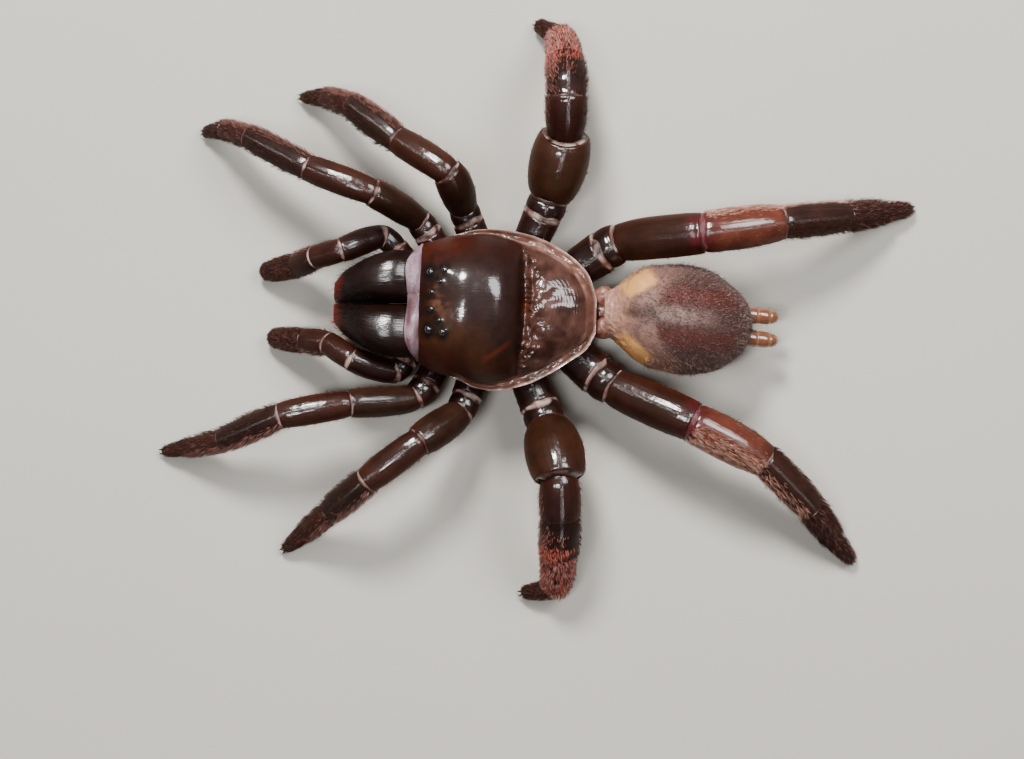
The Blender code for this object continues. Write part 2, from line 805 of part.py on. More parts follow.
def build_spider():
    clear_scene()
    parts = new_collection("trapdoor_spider")
    cuticle = make_material("glossy_dark_cuticle", (0.035, 0.012, 0.008), 0.18)
    hairy = make_material("bristly_brown_cuticle", (0.06, 0.03, 0.022), 0.5)
    horn = make_material("black_fang_horn", (0.01, 0.006, 0.005), 0.15)
    glassy = make_material("clear_eye_cuticle", (0.35, 0.36, 0.38), 0.05)
    velvet = make_material("brown_velvet_hair", (0.09, 0.045, 0.035), 0.85)
    amber = make_material("amber_spinneret_skin", (0.4, 0.13, 0.05), 0.3)
    make_carapace(parts, cuticle)
    make_eyes(parts, glassy)
    make_sternum(parts, cuticle)
    for side, sign in (("right", -1), ("left", 1)):
        make_chelicera(side, sign, parts, cuticle)
        make_fang(side, sign, parts, horn)
        make_palp(side, parts, cuticle, hairy)
        for number in range(1, 5):
            make_leg(f"leg_{number}", side, parts, cuticle, hairy)
        make_spinneret(f"spinneret_lateral_{side}", sign, SPINNERET_LATERAL, parts, amber)
        make_spinneret(f"spinneret_median_{side}", sign, SPINNERET_MEDIAN, parts, amber)
    make_pedicel(parts, cuticle)
    make_abdomen(parts, velvet)
    centre_on_floor(parts)


build_spider()
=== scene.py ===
"""Trapdoor spider, a large female at life size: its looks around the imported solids.

The head looks along -Y and the back is up. Tables and shapes are in millimetres in the
part's own plan, and place() turns them to metres in the frame.
"""

import math

import bpy
import numpy as np
from mathutils import Matrix, Vector


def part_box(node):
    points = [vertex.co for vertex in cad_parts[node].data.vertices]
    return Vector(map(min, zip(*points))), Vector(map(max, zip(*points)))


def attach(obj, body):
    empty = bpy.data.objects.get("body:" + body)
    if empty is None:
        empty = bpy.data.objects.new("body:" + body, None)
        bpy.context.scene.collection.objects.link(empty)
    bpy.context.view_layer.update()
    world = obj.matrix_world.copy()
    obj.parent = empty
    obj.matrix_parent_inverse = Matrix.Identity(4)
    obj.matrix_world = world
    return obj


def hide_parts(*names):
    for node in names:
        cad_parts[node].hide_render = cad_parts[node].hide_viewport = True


MM = 0.001
SEED = 20

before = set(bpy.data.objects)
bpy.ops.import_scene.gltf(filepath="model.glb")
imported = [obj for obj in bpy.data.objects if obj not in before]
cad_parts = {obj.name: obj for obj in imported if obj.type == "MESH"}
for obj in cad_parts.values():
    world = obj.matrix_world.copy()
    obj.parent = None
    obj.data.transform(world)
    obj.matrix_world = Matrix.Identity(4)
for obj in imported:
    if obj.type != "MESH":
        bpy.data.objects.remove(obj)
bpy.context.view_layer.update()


# The plan's own origin lies on the middle line of the carapace, 7.2 mm behind its front
CARAPACE_FRONT_Y = -7.2
carapace_low, carapace_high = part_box("carapace")
SHIFT = np.array([
    (carapace_low.x + carapace_high.x) / 2 / MM,
    carapace_low.y / MM - CARAPACE_FRONT_Y,
    0.0,
])


# Numbers and colours


def hex_colour(code):
    """An sRGB hex value as linear red, green, blue and full alpha."""
    parts = [int(code[k:k + 2], 16) / 255 for k in (1, 3, 5)]
    linear = [p / 12.92 if p <= 0.04045 else ((p + 0.055) / 1.055) ** 2.4 for p in parts]
    return np.array([*linear, 1.0])


def ease(low, high, value):
    """0 below low, 1 above high, and a smooth step between them."""
    t = np.clip((np.asarray(value, float) - low) / (high - low), 0.0, 1.0)
    return t * t * (3 - 2 * t)


def blend_colour(first, second, share):
    share = np.asarray(share, float)[..., None]
    return first * (1 - share) + second * share


def bell(value, width):
    """1 where the value is 0, falling off smoothly over this width to both sides."""
    return np.exp(-(value / width) ** 2)


def plateau(value, width):
    """1 over most of this width to both sides of 0, falling off steeply at its ends."""
    return np.exp(-(value / width) ** 4)


LATTICE_SIZE = 32
LATTICES = {}


def wander(points, size, seed=0):
    """A smooth random field from -1 to 1 whose features are size millimetres across."""
    if seed not in LATTICES:
        LATTICES[seed] = np.random.default_rng(SEED + seed).random((LATTICE_SIZE,) * 3)
    table = LATTICES[seed]
    scaled = np.asarray(points, float) / size + 400.0
    cell = np.floor(scaled).astype(int)
    part = scaled - cell
    part = part * part * (3 - 2 * part)
    total = 0.0
    for step in np.ndindex(2, 2, 2):
        weight = np.where(step, part, 1 - part).prod(-1)
        corner = (cell + step) % LATTICE_SIZE
        total = total + weight * table[corner[..., 0], corner[..., 1], corner[..., 2]]
    return total * 2 - 1


def unit(vectors):
    vectors = np.asarray(vectors, float)
    return vectors / np.maximum(np.linalg.norm(vectors, axis=-1, keepdims=True), 1e-9)


def smooth_between(stations, at):
    """Reads a row of stations, whose first value is the place, as a smooth curve."""
    places = [row[0] for row in stations]
    at = min(max(at, places[0]), places[-1])
    index = max(i for i in range(len(places) - 1) if places[i] <= at)
    low, high = stations[index], stations[index + 1]
    before = stations[max(index - 1, 0)]
    after = stations[min(index + 2, len(stations) - 1)]
    span = high[0] - low[0]
    t = (at - low[0]) / span
    values = []
    for k in range(1, len(low)):
        slope_low = (high[k] - before[k]) / (high[0] - before[0]) * span
        slope_high = (after[k] - low[k]) / (after[0] - low[0]) * span
        values.append(
            low[k] * (2 * t**3 - 3 * t**2 + 1) + slope_low * (t**3 - 2 * t**2 + t)
            + high[k] * (3 * t**2 - 2 * t**3) + slope_high * (t**3 - t**2)
        )
    return values


def plan_points(x, y, z):
    return np.stack([x, y, z], -1)


def round_turns(columns):
    """Angles in even steps all round a ring."""
    return np.linspace(0, math.tau, columns, endpoint=False)


def unit_ball(rows, columns, gap=0.05):
    """A ball of radius 1 as rings about its z axis, which leave a small gap at each pole."""
    polar = np.linspace(gap, math.pi - gap, rows)[:, None]
    turns = round_turns(columns)
    ring = np.sin(polar)
    return plan_points(ring * np.cos(turns), ring * np.sin(turns), np.cos(polar) * np.ones(columns))


# Meshes


def place(points):
    points = np.asarray(points, float) + SHIFT
    points[..., 2] = np.maximum(points[..., 2], 0.0)
    return points * MM


def add_piece(name, points, faces, material, replaced, tone, uv, uv_name="UVMap"):
    """Builds a mesh from points and faces of any size, smooth shaded, riding on the body."""
    mesh = bpy.data.meshes.new(name)
    sizes = np.array([len(face) for face in faces])
    corners = np.concatenate(faces)
    mesh.vertices.add(len(points))
    mesh.vertices.foreach_set("co", place(points).ravel())
    mesh.loops.add(len(corners))
    mesh.loops.foreach_set("vertex_index", corners.astype(np.int32))
    mesh.polygons.add(len(sizes))
    starts = np.concatenate([[0], np.cumsum(sizes)[:-1]])
    mesh.polygons.foreach_set("loop_start", starts.astype(np.int32))
    mesh.polygons.foreach_set("use_smooth", np.ones(len(sizes), bool))
    unwrap = mesh.uv_layers.new(name=uv_name)
    unwrap.data.foreach_set("uv", uv[corners].ravel())
    mesh.update(calc_edges=True)
    layer = mesh.color_attributes.new("tone", "FLOAT_COLOR", "POINT")
    layer.data.foreach_set("color", tone.ravel())
    mesh.validate()
    piece = bpy.data.objects.new(name, mesh)
    bpy.context.scene.collection.objects.link(piece)
    mesh.materials.append(material)
    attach(piece, "root")
    if replaced:
        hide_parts(*replaced)


class Shell:
    """Gathers tubes, closed at both ends, from grids of points, with tones and an unwrap."""

    def __init__(self):
        self.points = []
        self.tones = []
        self.uvs = []
        self.faces = []
        self.count = 0

    def add(self, grid, tone, uv_box=(0, 0, 1, 1)):
        rows, columns = grid.shape[:2]
        base = self.count
        tone = np.broadcast_to(tone, (rows, columns, 4))
        u = np.linspace(uv_box[0], uv_box[2], rows)[:, None] * np.ones(columns)
        v = np.linspace(uv_box[1], uv_box[3], columns) * np.ones((rows, 1))
        self.points.append(grid.reshape(-1, 3))
        self.tones.append(tone.reshape(-1, 4))
        self.uvs.append(np.stack([u, v], -1).reshape(-1, 2))
        self.count += rows * columns
        column = np.arange(columns)
        following = (column + 1) % columns
        low = base + columns * np.arange(rows - 1)[:, None]
        high = low + columns
        quads = [low + column, high + column, high + following, low + following]
        self.faces += np.stack(quads, -1).reshape(-1, 4).tolist()
        for row, first, second in ((0, column, following), (rows - 1, following, column)):
            self.points.append(grid[row].mean(0)[None])
            self.tones.append(tone[row].mean(0)[None])
            self.uvs.append(np.array([[u[row, 0], 0.5]]))
            ring = base + row * columns
            fan = [np.full(columns, self.count), ring + first, ring + second]
            self.faces += np.stack(fan, -1).tolist()
            self.count += 1

    def build(self, name, material, slot, replaced=()):
        points = np.concatenate(self.points)
        faces = self.faces
        if volume(points, faces) < 0:
            faces = [face[::-1] for face in faces]
        add_piece(
            name, points, faces, material, replaced,
            np.concatenate(self.tones), np.concatenate(self.uvs),
        )


def volume(points, faces):
    """Signed volume, which is negative where the faces look inwards."""
    triangles = np.array([
        (face[0], *face[k:k + 2]) for face in faces for k in range(1, len(face) - 1)
    ])
    a, b, c = (points[triangles[:, k]] for k in range(3))
    return np.sum(a * np.cross(b, c)) / 6


def grid_normals(grid, closed=True):
    """Unit normals of a grid, pointing away from the middle of each row."""
    along = np.gradient(grid, axis=0)
    if closed:
        around = np.roll(grid, -1, 1) - np.roll(grid, 1, 1)
    else:
        around = np.gradient(grid, axis=1)
    normals = unit(np.cross(along, around))
    if closed:
        outward = grid - grid.mean(1, keepdims=True)
        flip = np.sum(normals * outward, -1, keepdims=True).mean(1, keepdims=True)
        normals = normals * np.where(flip < 0, -1, 1)
    return normals


def flat_gloss(normals, steep=0.68):
    """Gloss for the alpha of a tone: 1 where the surface faces up, and 0 where it is steep."""
    return ease(steep, 0.9, normals[..., 2])


# Hair and bristles


HAIR_SIDES = 3
HAIR_CURL = 0.12
# How far each root is sunk in the skin, in millimetres
ROOT_DEPTH = 0.04
# Half the width of each hair's own patch on the unwrap
HAIR_PATCH = 0.0015
# Corners of a hair's faces: root ring 0 to 2, middle ring 3 to 5, tip 6
HAIR_FACES = np.array([
    (0, 2, 1), (0, 1, 4), (0, 4, 3), (1, 2, 5), (1, 5, 4), (2, 0, 3), (2, 3, 5),
    (3, 4, 6), (4, 5, 6), (5, 3, 6),
])


class Coat:
    """Gathers hairs: thin closed cones with a bend, each rooted in the skin."""

    def __init__(self, name, material, slot, seed):
        self.name = name
        self.material = material
        self.slot = slot
        self.rng = np.random.default_rng(SEED * 1000 + seed)
        self.rows = []

    def plant(
        self, grid, normals, density, length, lean, tone, radius,
        uv_box=(0, 0, 1, 1), sway=0.25, way=None,
    ):
        """Roots hairs on a grid: density is hairs per square millimetre at each point."""
        rows, columns = grid.shape[:2]
        side = (np.roll(grid, -1, 1) - grid)[:-1]
        along = grid[1:] - grid[:-1]
        area = np.linalg.norm(np.cross(side, along), axis=-1)
        wanted = area * np.broadcast_to(density, (rows, columns))[:-1]
        total = int(round(wanted.sum()))
        if total == 0:
            return
        chance = (wanted / wanted.sum()).ravel()
        cells = self.rng.choice(len(chance), total, p=chance)
        i, j = np.divmod(cells, columns)
        f, g = self.rng.random(total), self.rng.random(total)
        j2 = (j + 1) % columns

        def read(field):
            field = np.broadcast_to(field, (rows, columns, *np.shape(field)[2:]))
            extra = (slice(None),) + (None,) * (field.ndim - 2)
            ff, gg = f[extra], g[extra]
            return (
                field[i, j] * (1 - ff) * (1 - gg) + field[i + 1, j] * ff * (1 - gg)
                + field[i, j2] * (1 - ff) * gg + field[i + 1, j2] * ff * gg
            )

        root = read(grid)
        normal = unit(read(normals))
        if way is None:
            direction = grid[i + 1, j] - grid[i, j]
        else:
            direction = np.broadcast_to(way, root.shape)
        direction = unit(direction - np.sum(direction * normal, -1, keepdims=True) * normal)
        across = np.cross(normal, direction)
        lean_angle = math.radians(lean) * (1 + 0.25 * self.rng.standard_normal(total))
        turn = sway * self.rng.standard_normal(total)
        flat = direction * np.cos(turn)[:, None] + across * np.sin(turn)[:, None]
        size = read(length) if np.ndim(length) else np.full(total, float(length))
        size = size * (1 + 0.22 * self.rng.standard_normal(total)).clip(0.4, 1.6)
        colour = read(tone) if np.ndim(tone) > 1 else np.broadcast_to(tone, (total, 4))
        shade = np.ones((total, 4))
        shade[:, :3] = np.exp(0.4 * self.rng.standard_normal(total).clip(-2, 2))[:, None]
        colour = np.clip(colour * shade, 0, 1)
        u = uv_box[0] + (uv_box[2] - uv_box[0]) * (i + f) / (rows - 1)
        v = uv_box[1] + (uv_box[3] - uv_box[1]) * (j + g) / columns
        self.rows.append((
            root, normal, flat, lean_angle, size, np.full(total, float(radius)), colour,
            np.stack([u, v], 1),
        ))

    def build(self):
        root, normal, flat, lean, size, radius, colour, uv = (
            np.concatenate(column) for column in zip(*self.rows)
        )
        count = len(root)
        rise = normal * np.sin(lean)[:, None] + flat * np.cos(lean)[:, None]
        side = unit(np.cross(rise, normal))
        third = np.cross(side, rise)
        size = size[:, None]
        middle = root + rise * size * 0.5 + normal * size * HAIR_CURL * 0.4
        points = np.empty((count, 7, 3))
        spots = np.zeros((7, 2))
        for k, angle in enumerate(round_turns(HAIR_SIDES)):
            spoke = (side * math.cos(angle) + third * math.sin(angle)) * radius[:, None]
            points[:, k] = root - normal * ROOT_DEPTH + spoke
            points[:, 3 + k] = middle + spoke * 0.75
            spots[k] = HAIR_PATCH * math.cos(angle), HAIR_PATCH * math.sin(angle)
            spots[3 + k] = spots[k] * 0.6
        points[:, 6] = root + rise * size - normal * size * HAIR_CURL
        faces = (HAIR_FACES + 7 * np.arange(count)[:, None, None]).reshape(-1, 3)
        uvs = np.clip(uv, 0.002, 0.998)[:, None] + spots
        tones = np.repeat(colour, 7, 0)
        add_piece(
            self.name, points.reshape(-1, 3), faces, self.material, (),
            tones, uvs.reshape(-1, 2), uv_name="OFBake",
        )


# Materials


def add_node(tree, kind, settings=(), links=()):
    """Adds a node, sets its own settings or sockets, and links its sockets."""
    node = tree.nodes.new(kind)
    for name, value in dict(settings).items():
        if name == "ramp":
            while len(node.color_ramp.elements) < len(value):
                node.color_ramp.elements.new(0.5)
            for element, (position, colour) in zip(node.color_ramp.elements, value):
                element.position = position
                element.color = colour
        elif isinstance(name, str) and hasattr(node, name):
            setattr(node, name, value)
        else:
            node.inputs[name].default_value = value
    for name, socket in dict(links).items():
        tree.links.new(socket, node.inputs[name])
    return node


def grain(size):
    """Noise scale for features of this size in millimetres, in coordinates of metres."""
    return 1 / (size * MM)


def finish_material(
    name, mottle_size, mottle, pebble_size, pebble_height, roughness, uneven=0.0,
    ior=1.56, streak=None, polish=0.0, glaze=0.0, shader_settings=(),
):
    """A surface coloured by its painted tone, mottled, with fine relief and uneven gloss.

    Polish is how much smoother it is where the alpha of the tone is 1 and not 0, and glaze
    is the weight there of a clear hard outer layer.
    """
    material = bpy.data.materials.new(name)
    material.use_nodes = True
    tree = material.node_tree
    tree.nodes.clear()
    coordinates = add_node(tree, "ShaderNodeTexCoord")
    tone = add_node(tree, "ShaderNodeAttribute", {"attribute_name": "tone"})
    patches = add_node(
        tree, "ShaderNodeTexNoise",
        {"Scale": grain(mottle_size), "Detail": 4.0, "Roughness": 0.6},
        {"Vector": coordinates.outputs["Object"]},
    )
    lightness = add_node(
        tree, "ShaderNodeMapRange",
        {"From Min": 0.3, "From Max": 0.7, "To Min": 1 - mottle, "To Max": 1 + mottle},
        {"Value": patches.outputs["Fac"]},
    )
    colour = add_node(
        tree, "ShaderNodeHueSaturation", {},
        {"Color": tone.outputs["Color"], "Value": lightness.outputs["Result"]},
    )
    pebbles = add_node(
        tree, "ShaderNodeTexNoise",
        {"Scale": grain(pebble_size), "Detail": 3.0, "Roughness": 0.55},
        {"Vector": coordinates.outputs["Object"]},
    )
    relief = add_node(
        tree, "ShaderNodeBump", {"Strength": 1.0, "Distance": pebble_height * MM},
        {"Height": pebbles.outputs["Fac"]},
    )
    if streak:
        along, around, height = streak
        unwrap = add_node(
            tree, "ShaderNodeMapping", {"Scale": (along, around, 1.0)},
            {"Vector": coordinates.outputs["UV"]},
        )
        lines = add_node(
            tree, "ShaderNodeTexNoise", {"Scale": 1.0, "Detail": 2.0},
            {"Vector": unwrap.outputs["Vector"]},
        )
        relief = add_node(
            tree, "ShaderNodeBump", {"Strength": 1.0, "Distance": height * MM},
            {"Height": lines.outputs["Fac"], "Normal": relief.outputs["Normal"]},
        )
    gloss = add_node(
        tree, "ShaderNodeMapRange",
        {
            "From Min": 0.3, "From Max": 0.7,
            "To Min": roughness - uneven, "To Max": roughness + uneven,
        },
        {"Value": patches.outputs["Fac"]},
    )
    rubbed = add_node(
        tree, "ShaderNodeMath", {"operation": "MULTIPLY_ADD", 1: -polish},
        {0: tone.outputs["Alpha"], 2: gloss.outputs["Result"]},
    )
    sockets = {
        "Base Color": colour.outputs["Color"],
        "Roughness": rubbed.outputs["Value"],
        "Normal": relief.outputs["Normal"],
    }
    if glaze:
        layer = add_node(
            tree, "ShaderNodeMath", {"operation": "MULTIPLY", 1: glaze}, {0: tone.outputs["Alpha"]}
        )
        sockets["Coat Weight"] = layer.outputs["Value"]
        sockets["Coat Normal"] = relief.outputs["Normal"]
    shader = add_node(
        tree, "ShaderNodeBsdfPrincipled", {"IOR": ior, **dict(shader_settings)}, sockets
    )
    add_node(tree, "ShaderNodeOutputMaterial", {}, {"Surface": shader.outputs["BSDF"]})
    return material


# Hard plates are tanned chitin under a clear waxy outer layer. The layer is thick on top,
# where it shows sharp highlights, and worn off towards the floor by hair and burrow
TANNED_CUTICLE = finish_material(
    "tanned_chitin_polished", 0.9, 0.25, 0.4, 0.02, 0.5, 0.05, ior=1.5, streak=(24, 60, 0.02),
    glaze=1.0,
    shader_settings={"Specular IOR Level": 0.1, "Coat Roughness": 0.12, "Coat IOR": 1.65},
)
# The chelicerae are the same chitin, drawn into fine lines along their length
LINED_CUTICLE = finish_material(
    "tanned_chitin_lined", 0.9, 0.25, 0.3, 0.012, 0.5, 0.05, ior=1.5, streak=(3, 130, 0.024),
    glaze=1.0,
    shader_settings={"Specular IOR Level": 0.1, "Coat Roughness": 0.2, "Coat IOR": 1.65},
)
# The thorax plate is the same chitin, crumpled as it hardened, so its gloss breaks up
CRUMPLED_CUTICLE = finish_material(
    "tanned_chitin_crumpled", 0.6, 0.25, 0.3, 0.01, 0.5, 0.05, ior=1.52, streak=(8, 110, 0.006),
    glaze=1.0,
    shader_settings={"Specular IOR Level": 0.12, "Coat Roughness": 0.14, "Coat IOR": 1.6},
)
# Joint skin is soft untanned cuticle: pale, folded, slightly see-through and moist
JOINT_SKIN = finish_material(
    "soft_joint_cuticle", 0.35, 0.2, 0.12, 0.03, 0.22, 0.06, ior=1.45, streak=(30, 6, 0.02),
    shader_settings={"Subsurface Weight": 0.3, "Subsurface Radius": (0.0004, 0.0002, 0.00015)},
)
# Bristles are chitin needles: dark, with a thin glint along each
BRISTLE = finish_material(
    "chitin_bristle", 0.5, 0.15, 0.1, 0.0, 0.6, 0.05, shader_settings={"Specular IOR Level": 0.12},
)
# The back of the abdomen wears short dense hair that scatters light as velvet does
VELVET = finish_material(
    "velvet_body_hair", 0.3, 0.2, 0.1, 0.0, 0.62, 0.05,
    shader_settings={"Sheen Weight": 0.1, "Sheen Roughness": 0.5, "Specular IOR Level": 0.25},
)
# Body skin is thin folded cuticle over pale tissue: soft, a little shiny
BODY_SKIN = finish_material(
    "folded_body_cuticle", 0.5, 0.14, 0.1, 0.03, 0.66, 0.06, ior=1.45, streak=(60, 20, 0.02),
    polish=0.46,
    shader_settings={"Subsurface Weight": 0.25, "Subsurface Radius": (0.0005, 0.0002, 0.0001)},
)
# Eye lenses are clear polished cuticle over a pale cup: small sharp glints
EYE_LENS = finish_material(
    "clear_eye_cuticle", 0.2, 0.12, 0.1, 0.0, 0.06, 0.01,
    shader_settings={"Coat Weight": 1.0, "Coat Roughness": 0.02},
)
# Fangs are the hardest black chitin, worn to a polish and red where they thin
FANG_HORN = finish_material("black_fang_chitin", 0.4, 0.15, 0.06, 0.003, 0.14, 0.03)
# Spinneret skin is amber cuticle, thin enough for light to glow inside it
AMBER_SKIN = finish_material(
    "amber_spinneret_cuticle", 0.4, 0.15, 0.1, 0.002, 0.16, 0.03,
    shader_settings={
        "Subsurface Weight": 0.25, "Subsurface Radius": (0.0005, 0.0003, 0.0002),
        "Coat Weight": 1.0, "Coat Roughness": 0.06,
    },
)


# Limbs


SEGMENT_RADII = {
    "leg_1": dict(
        coxa=(0.55, 0.8, 0.9), trochanter=(0.85, 0.9, 0.78), femur=(0.72, 0.92, 0.84),
        patella=(0.76, 0.9, 0.78), tibia=(0.74, 0.84, 0.7), metatarsus=(0.62, 0.64, 0.54),
        tarsus=(0.5, 0.42, 0.22),
    ),
    "leg_2": dict(
        coxa=(0.75, 0.95, 0.95), trochanter=(0.88, 0.95, 0.85), femur=(0.8, 1.1, 0.92),
        patella=(0.82, 0.95, 0.82), tibia=(0.78, 0.9, 0.74), metatarsus=(0.66, 0.68, 0.55),
        tarsus=(0.5, 0.42, 0.22),
    ),
    "leg_3": dict(
        coxa=(0.8, 1.05, 1.18), trochanter=(1.1, 1.25, 1.1), femur=(1.1, 1.8, 1.45),
        patella=(0.98, 1.26, 1.2), tibia=(1.14, 1.22, 1.15), metatarsus=(1.02, 1.0, 0.76),
        tarsus=(0.6, 0.54, 0.34),
    ),
    "leg_4": dict(
        coxa=(0.9, 1.18, 1.32), trochanter=(1.2, 1.3, 1.15), femur=(1.1, 1.32, 1.22),
        patella=(1.15, 1.28, 1.0), tibia=(0.94, 1.02, 0.86), metatarsus=(0.78, 0.78, 0.64),
        tarsus=(0.58, 0.5, 0.32),
    ),
    "palp": dict(
        coxa=(0.5, 0.66, 0.76), trochanter=(0.7, 0.75, 0.68), femur=(0.66, 0.8, 0.74),
        patella=(0.7, 0.76, 0.7), tibia=(0.7, 0.8, 0.74), tarsus=(0.66, 0.7, 0.46),
    ),
}
LIMB_LENGTHS = {
    "leg_1": (4.25, 4.2, 4.6, 2.9, 2.0),
    "leg_2": (3.8, 3.85, 3.95, 2.9, 2.05),
    "leg_3": (4.25, 2.5, 2.95, 3.5, 2.15),
    "leg_4": (5.5, 4.95, 4.7, 2.8, 2.25),
    "palp": (2.9, 1.95, 2.1, 3.0),
}
COXA_ANGLES = {"palp": 19.0, "leg_1": 48.0, "leg_2": 77.0, "leg_3": 107.0, "leg_4": 144.0}
# Hip, headings outwards from straight ahead in degrees, and joint heights from the hip on
STANCE = {
    "leg_1_right": ((5.16, -7.52), (28, 19, 26, 18, -3), (3.4, 6.3, 5.8, 4.0, 1.8)),
    "leg_1_left": ((5.61, -7.3), (8, 12, 24, 15, 11), (3.4, 4.9, 5.15, 3.0, 1.2)),
    "leg_2_right": ((6.06, -4.86), (64, 32, 35, 20, 4), (3.4, 6.55, 5.4, 3.9, 1.7)),
    "leg_2_left": ((6.4, -4.55), (38, 39, 42, 42, 41), (3.4, 5.7, 5.6, 3.2, 1.3)),
    "leg_3_right": ((6.82, 0.38), (102, 90, 87, 78, 33), (3.4, 5.3, 6.5, 4.65, 1.75)),
    "leg_3_left": ((7.0, 0.79), (105, 94, 91, 86, 14), (3.4, 6.3, 5.4, 3.6, 1.1)),
    "leg_4_right": ((4.26, 4.69), (172, 170, 171, 169, 171), (3.4, 5.6, 4.8, 2.8, 1.2)),
    "leg_4_left": ((4.48, 4.72), (158, 154, 138, 131, 132), (3.4, 5.1, 4.5, 2.7, 1.1)),
    "palp_right": ((4.12, -9.7), (-22, -16, -20, -12), (3.5, 4.9, 3.9, 2.3)),
    "palp_left": ((4.1, -8.62), (-14, -30, -6, -4), (3.5, 4.6, 3.7, 2.3)),
}
STERNUM_CENTRE_Y = -2.5
STERNUM_HALF_WIDTH = 2.4
STERNUM_HALF_LENGTH = 4.1
COXA_HEIGHT = 2.6
FOOT_HEIGHT = 0.38
JOINT_BEND = 0.45
SIGNS = {"right": -1, "left": 1}

# Plates of a leg and of a palp: name, joint it starts at, and its share of that stretch
LEG_PLATES = (
    ("coxa", 0, 0.0, 0.7), ("trochanter", 0, 0.7, 1.0), ("femur", 1, 0.0, 1.0),
    ("patella", 2, 0.0, 1.0), ("tibia", 3, 0.0, 1.0), ("metatarsus", 4, 0.0, 1.0),
    ("tarsus", 5, 0.0, 1.0),
)
PALP_PLATES = (*LEG_PLATES[:5], ("tarsus", 4, 0.0, 1.0))

# Past the end of each plate: bare gap, joint skin drawn up on the next plate, and its paleness
BANDS = {
    "coxa": (0.08, 0.3, 0.75), "trochanter": (0.08, 0.42, 0.95), "femur": (0.02, 0.1, 0.5),
    "patella": (0.02, 0.14, 0.58), "tibia": (0.0, 0.05, 0.22), "metatarsus": (0.0, 0.02, 0.15),
    "tarsus": (0.0, 0.0, 0.0),
}
# Before the first plate there is no bare gap, and little skin shows
FIRST_BAND = (0.0, 0.1, 0.4)
# How far the first plate keeps from the sternum, before it nests inwards
HIP_GAP = 0.5
WINE_JOINT = "leg_4"
FLANKED_JOINT = "leg_3"

DARK = hex_colour("#1a0a07")
REDDISH = hex_colour("#2e130d")
# Amber cuticle: its own colour on the sternum, and a painted glow of light shining through low on the
# sides of plates and chelicerae
AMBER_TONE_AND_GLOW = hex_colour("#5c2a0e")
PALE_SKIN = hex_colour("#ac938a")
PINK_SKIN = hex_colour("#66443a")
DARK_SKIN = hex_colour("#2c1410")
WINE_SKIN = hex_colour("#4e0e1a")
BLACK_HAIR = hex_colour("#120a08")
BROWN_HAIR = hex_colour("#3a1d16")
ROSY_HAIR = hex_colour("#845850")
PALE_HAIR = hex_colour("#c8a496")
RUSSET_HAIR = hex_colour("#4c2a22")
CORAL_HAIR = hex_colour("#c86656")
PINK_HAIR = hex_colour("#b48472")


def plate_colours(**codes):
    return {kind: hex_colour(code) for kind, code in codes.items()}


# Colour of the plates down each limb, where it isn't the darkest
PLATE_TONES = {
    "leg_1": plate_colours(femur="#24140c", patella="#2e140c", tibia="#200f0b", metatarsus="#2e130d"),
    "leg_2": plate_colours(femur="#26150d", patella="#2e150d", tibia="#20100b", metatarsus="#2e130d"),
    "leg_3": plate_colours(femur="#2e180d", patella="#260e09"),
    "leg_4": plate_colours(femur="#28120b", patella="#54281c", tibia="#2a150f"),
    "palp": plate_colours(patella="#2a120c", tibia="#2a120b"),
}

# Hair on each limb: plate, hairs per square millimetre, length, lean, middle of the
# patch round the limb from the top outwards, half width of the patch, start and end
# along the plate, colour and thickness
ALL_ROUND = 200
FRONT_LEG_HAIR = (
    ("trochanter", 6, 0.22, 30, 180, 110, 0.0, 1.0, BLACK_HAIR, 0.014),
    ("femur", 9, 0.24, 26, 180, 112, 0.1, 1.0, BLACK_HAIR, 0.013),
    ("patella", 12, 0.28, 24, 92, 30, 0.1, 1.0, ROSY_HAIR, 0.012),
    ("patella", 10, 0.26, 28, 190, 110, 0.1, 1.0, BLACK_HAIR, 0.013),
    ("tibia", 70, 0.4, 18, 66, 40, 0.0, 1.0, ROSY_HAIR, 0.012),
    ("tibia", 40, 0.4, 26, 192, 108, 0.0, 1.0, BROWN_HAIR, 0.014),
    ("tibia", 24, 0.34, 14, -4, 46, 0.35, 1.0, RUSSET_HAIR, 0.01),
    ("metatarsus", 90, 0.42, 20, 66, 48, 0.0, 1.0, ROSY_HAIR, 0.012),
    ("metatarsus", 60, 0.36, 14, -4, 50, 0.1, 1.0, BROWN_HAIR, 0.01),
    ("metatarsus", 12, 0.36, 18, 10, 80, 0.0, 1.0, ROSY_HAIR, 0.008),
    ("metatarsus", 70, 0.42, 26, 192, 118, 0.0, 1.0, BROWN_HAIR, 0.014),
    ("tarsus", 130, 0.38, 24, 180, 140, 0.0, 1.0, BROWN_HAIR, 0.014),
    ("tarsus", 110, 0.34, 20, 20, 80, 0.0, 1.0, RUSSET_HAIR, 0.013),
)
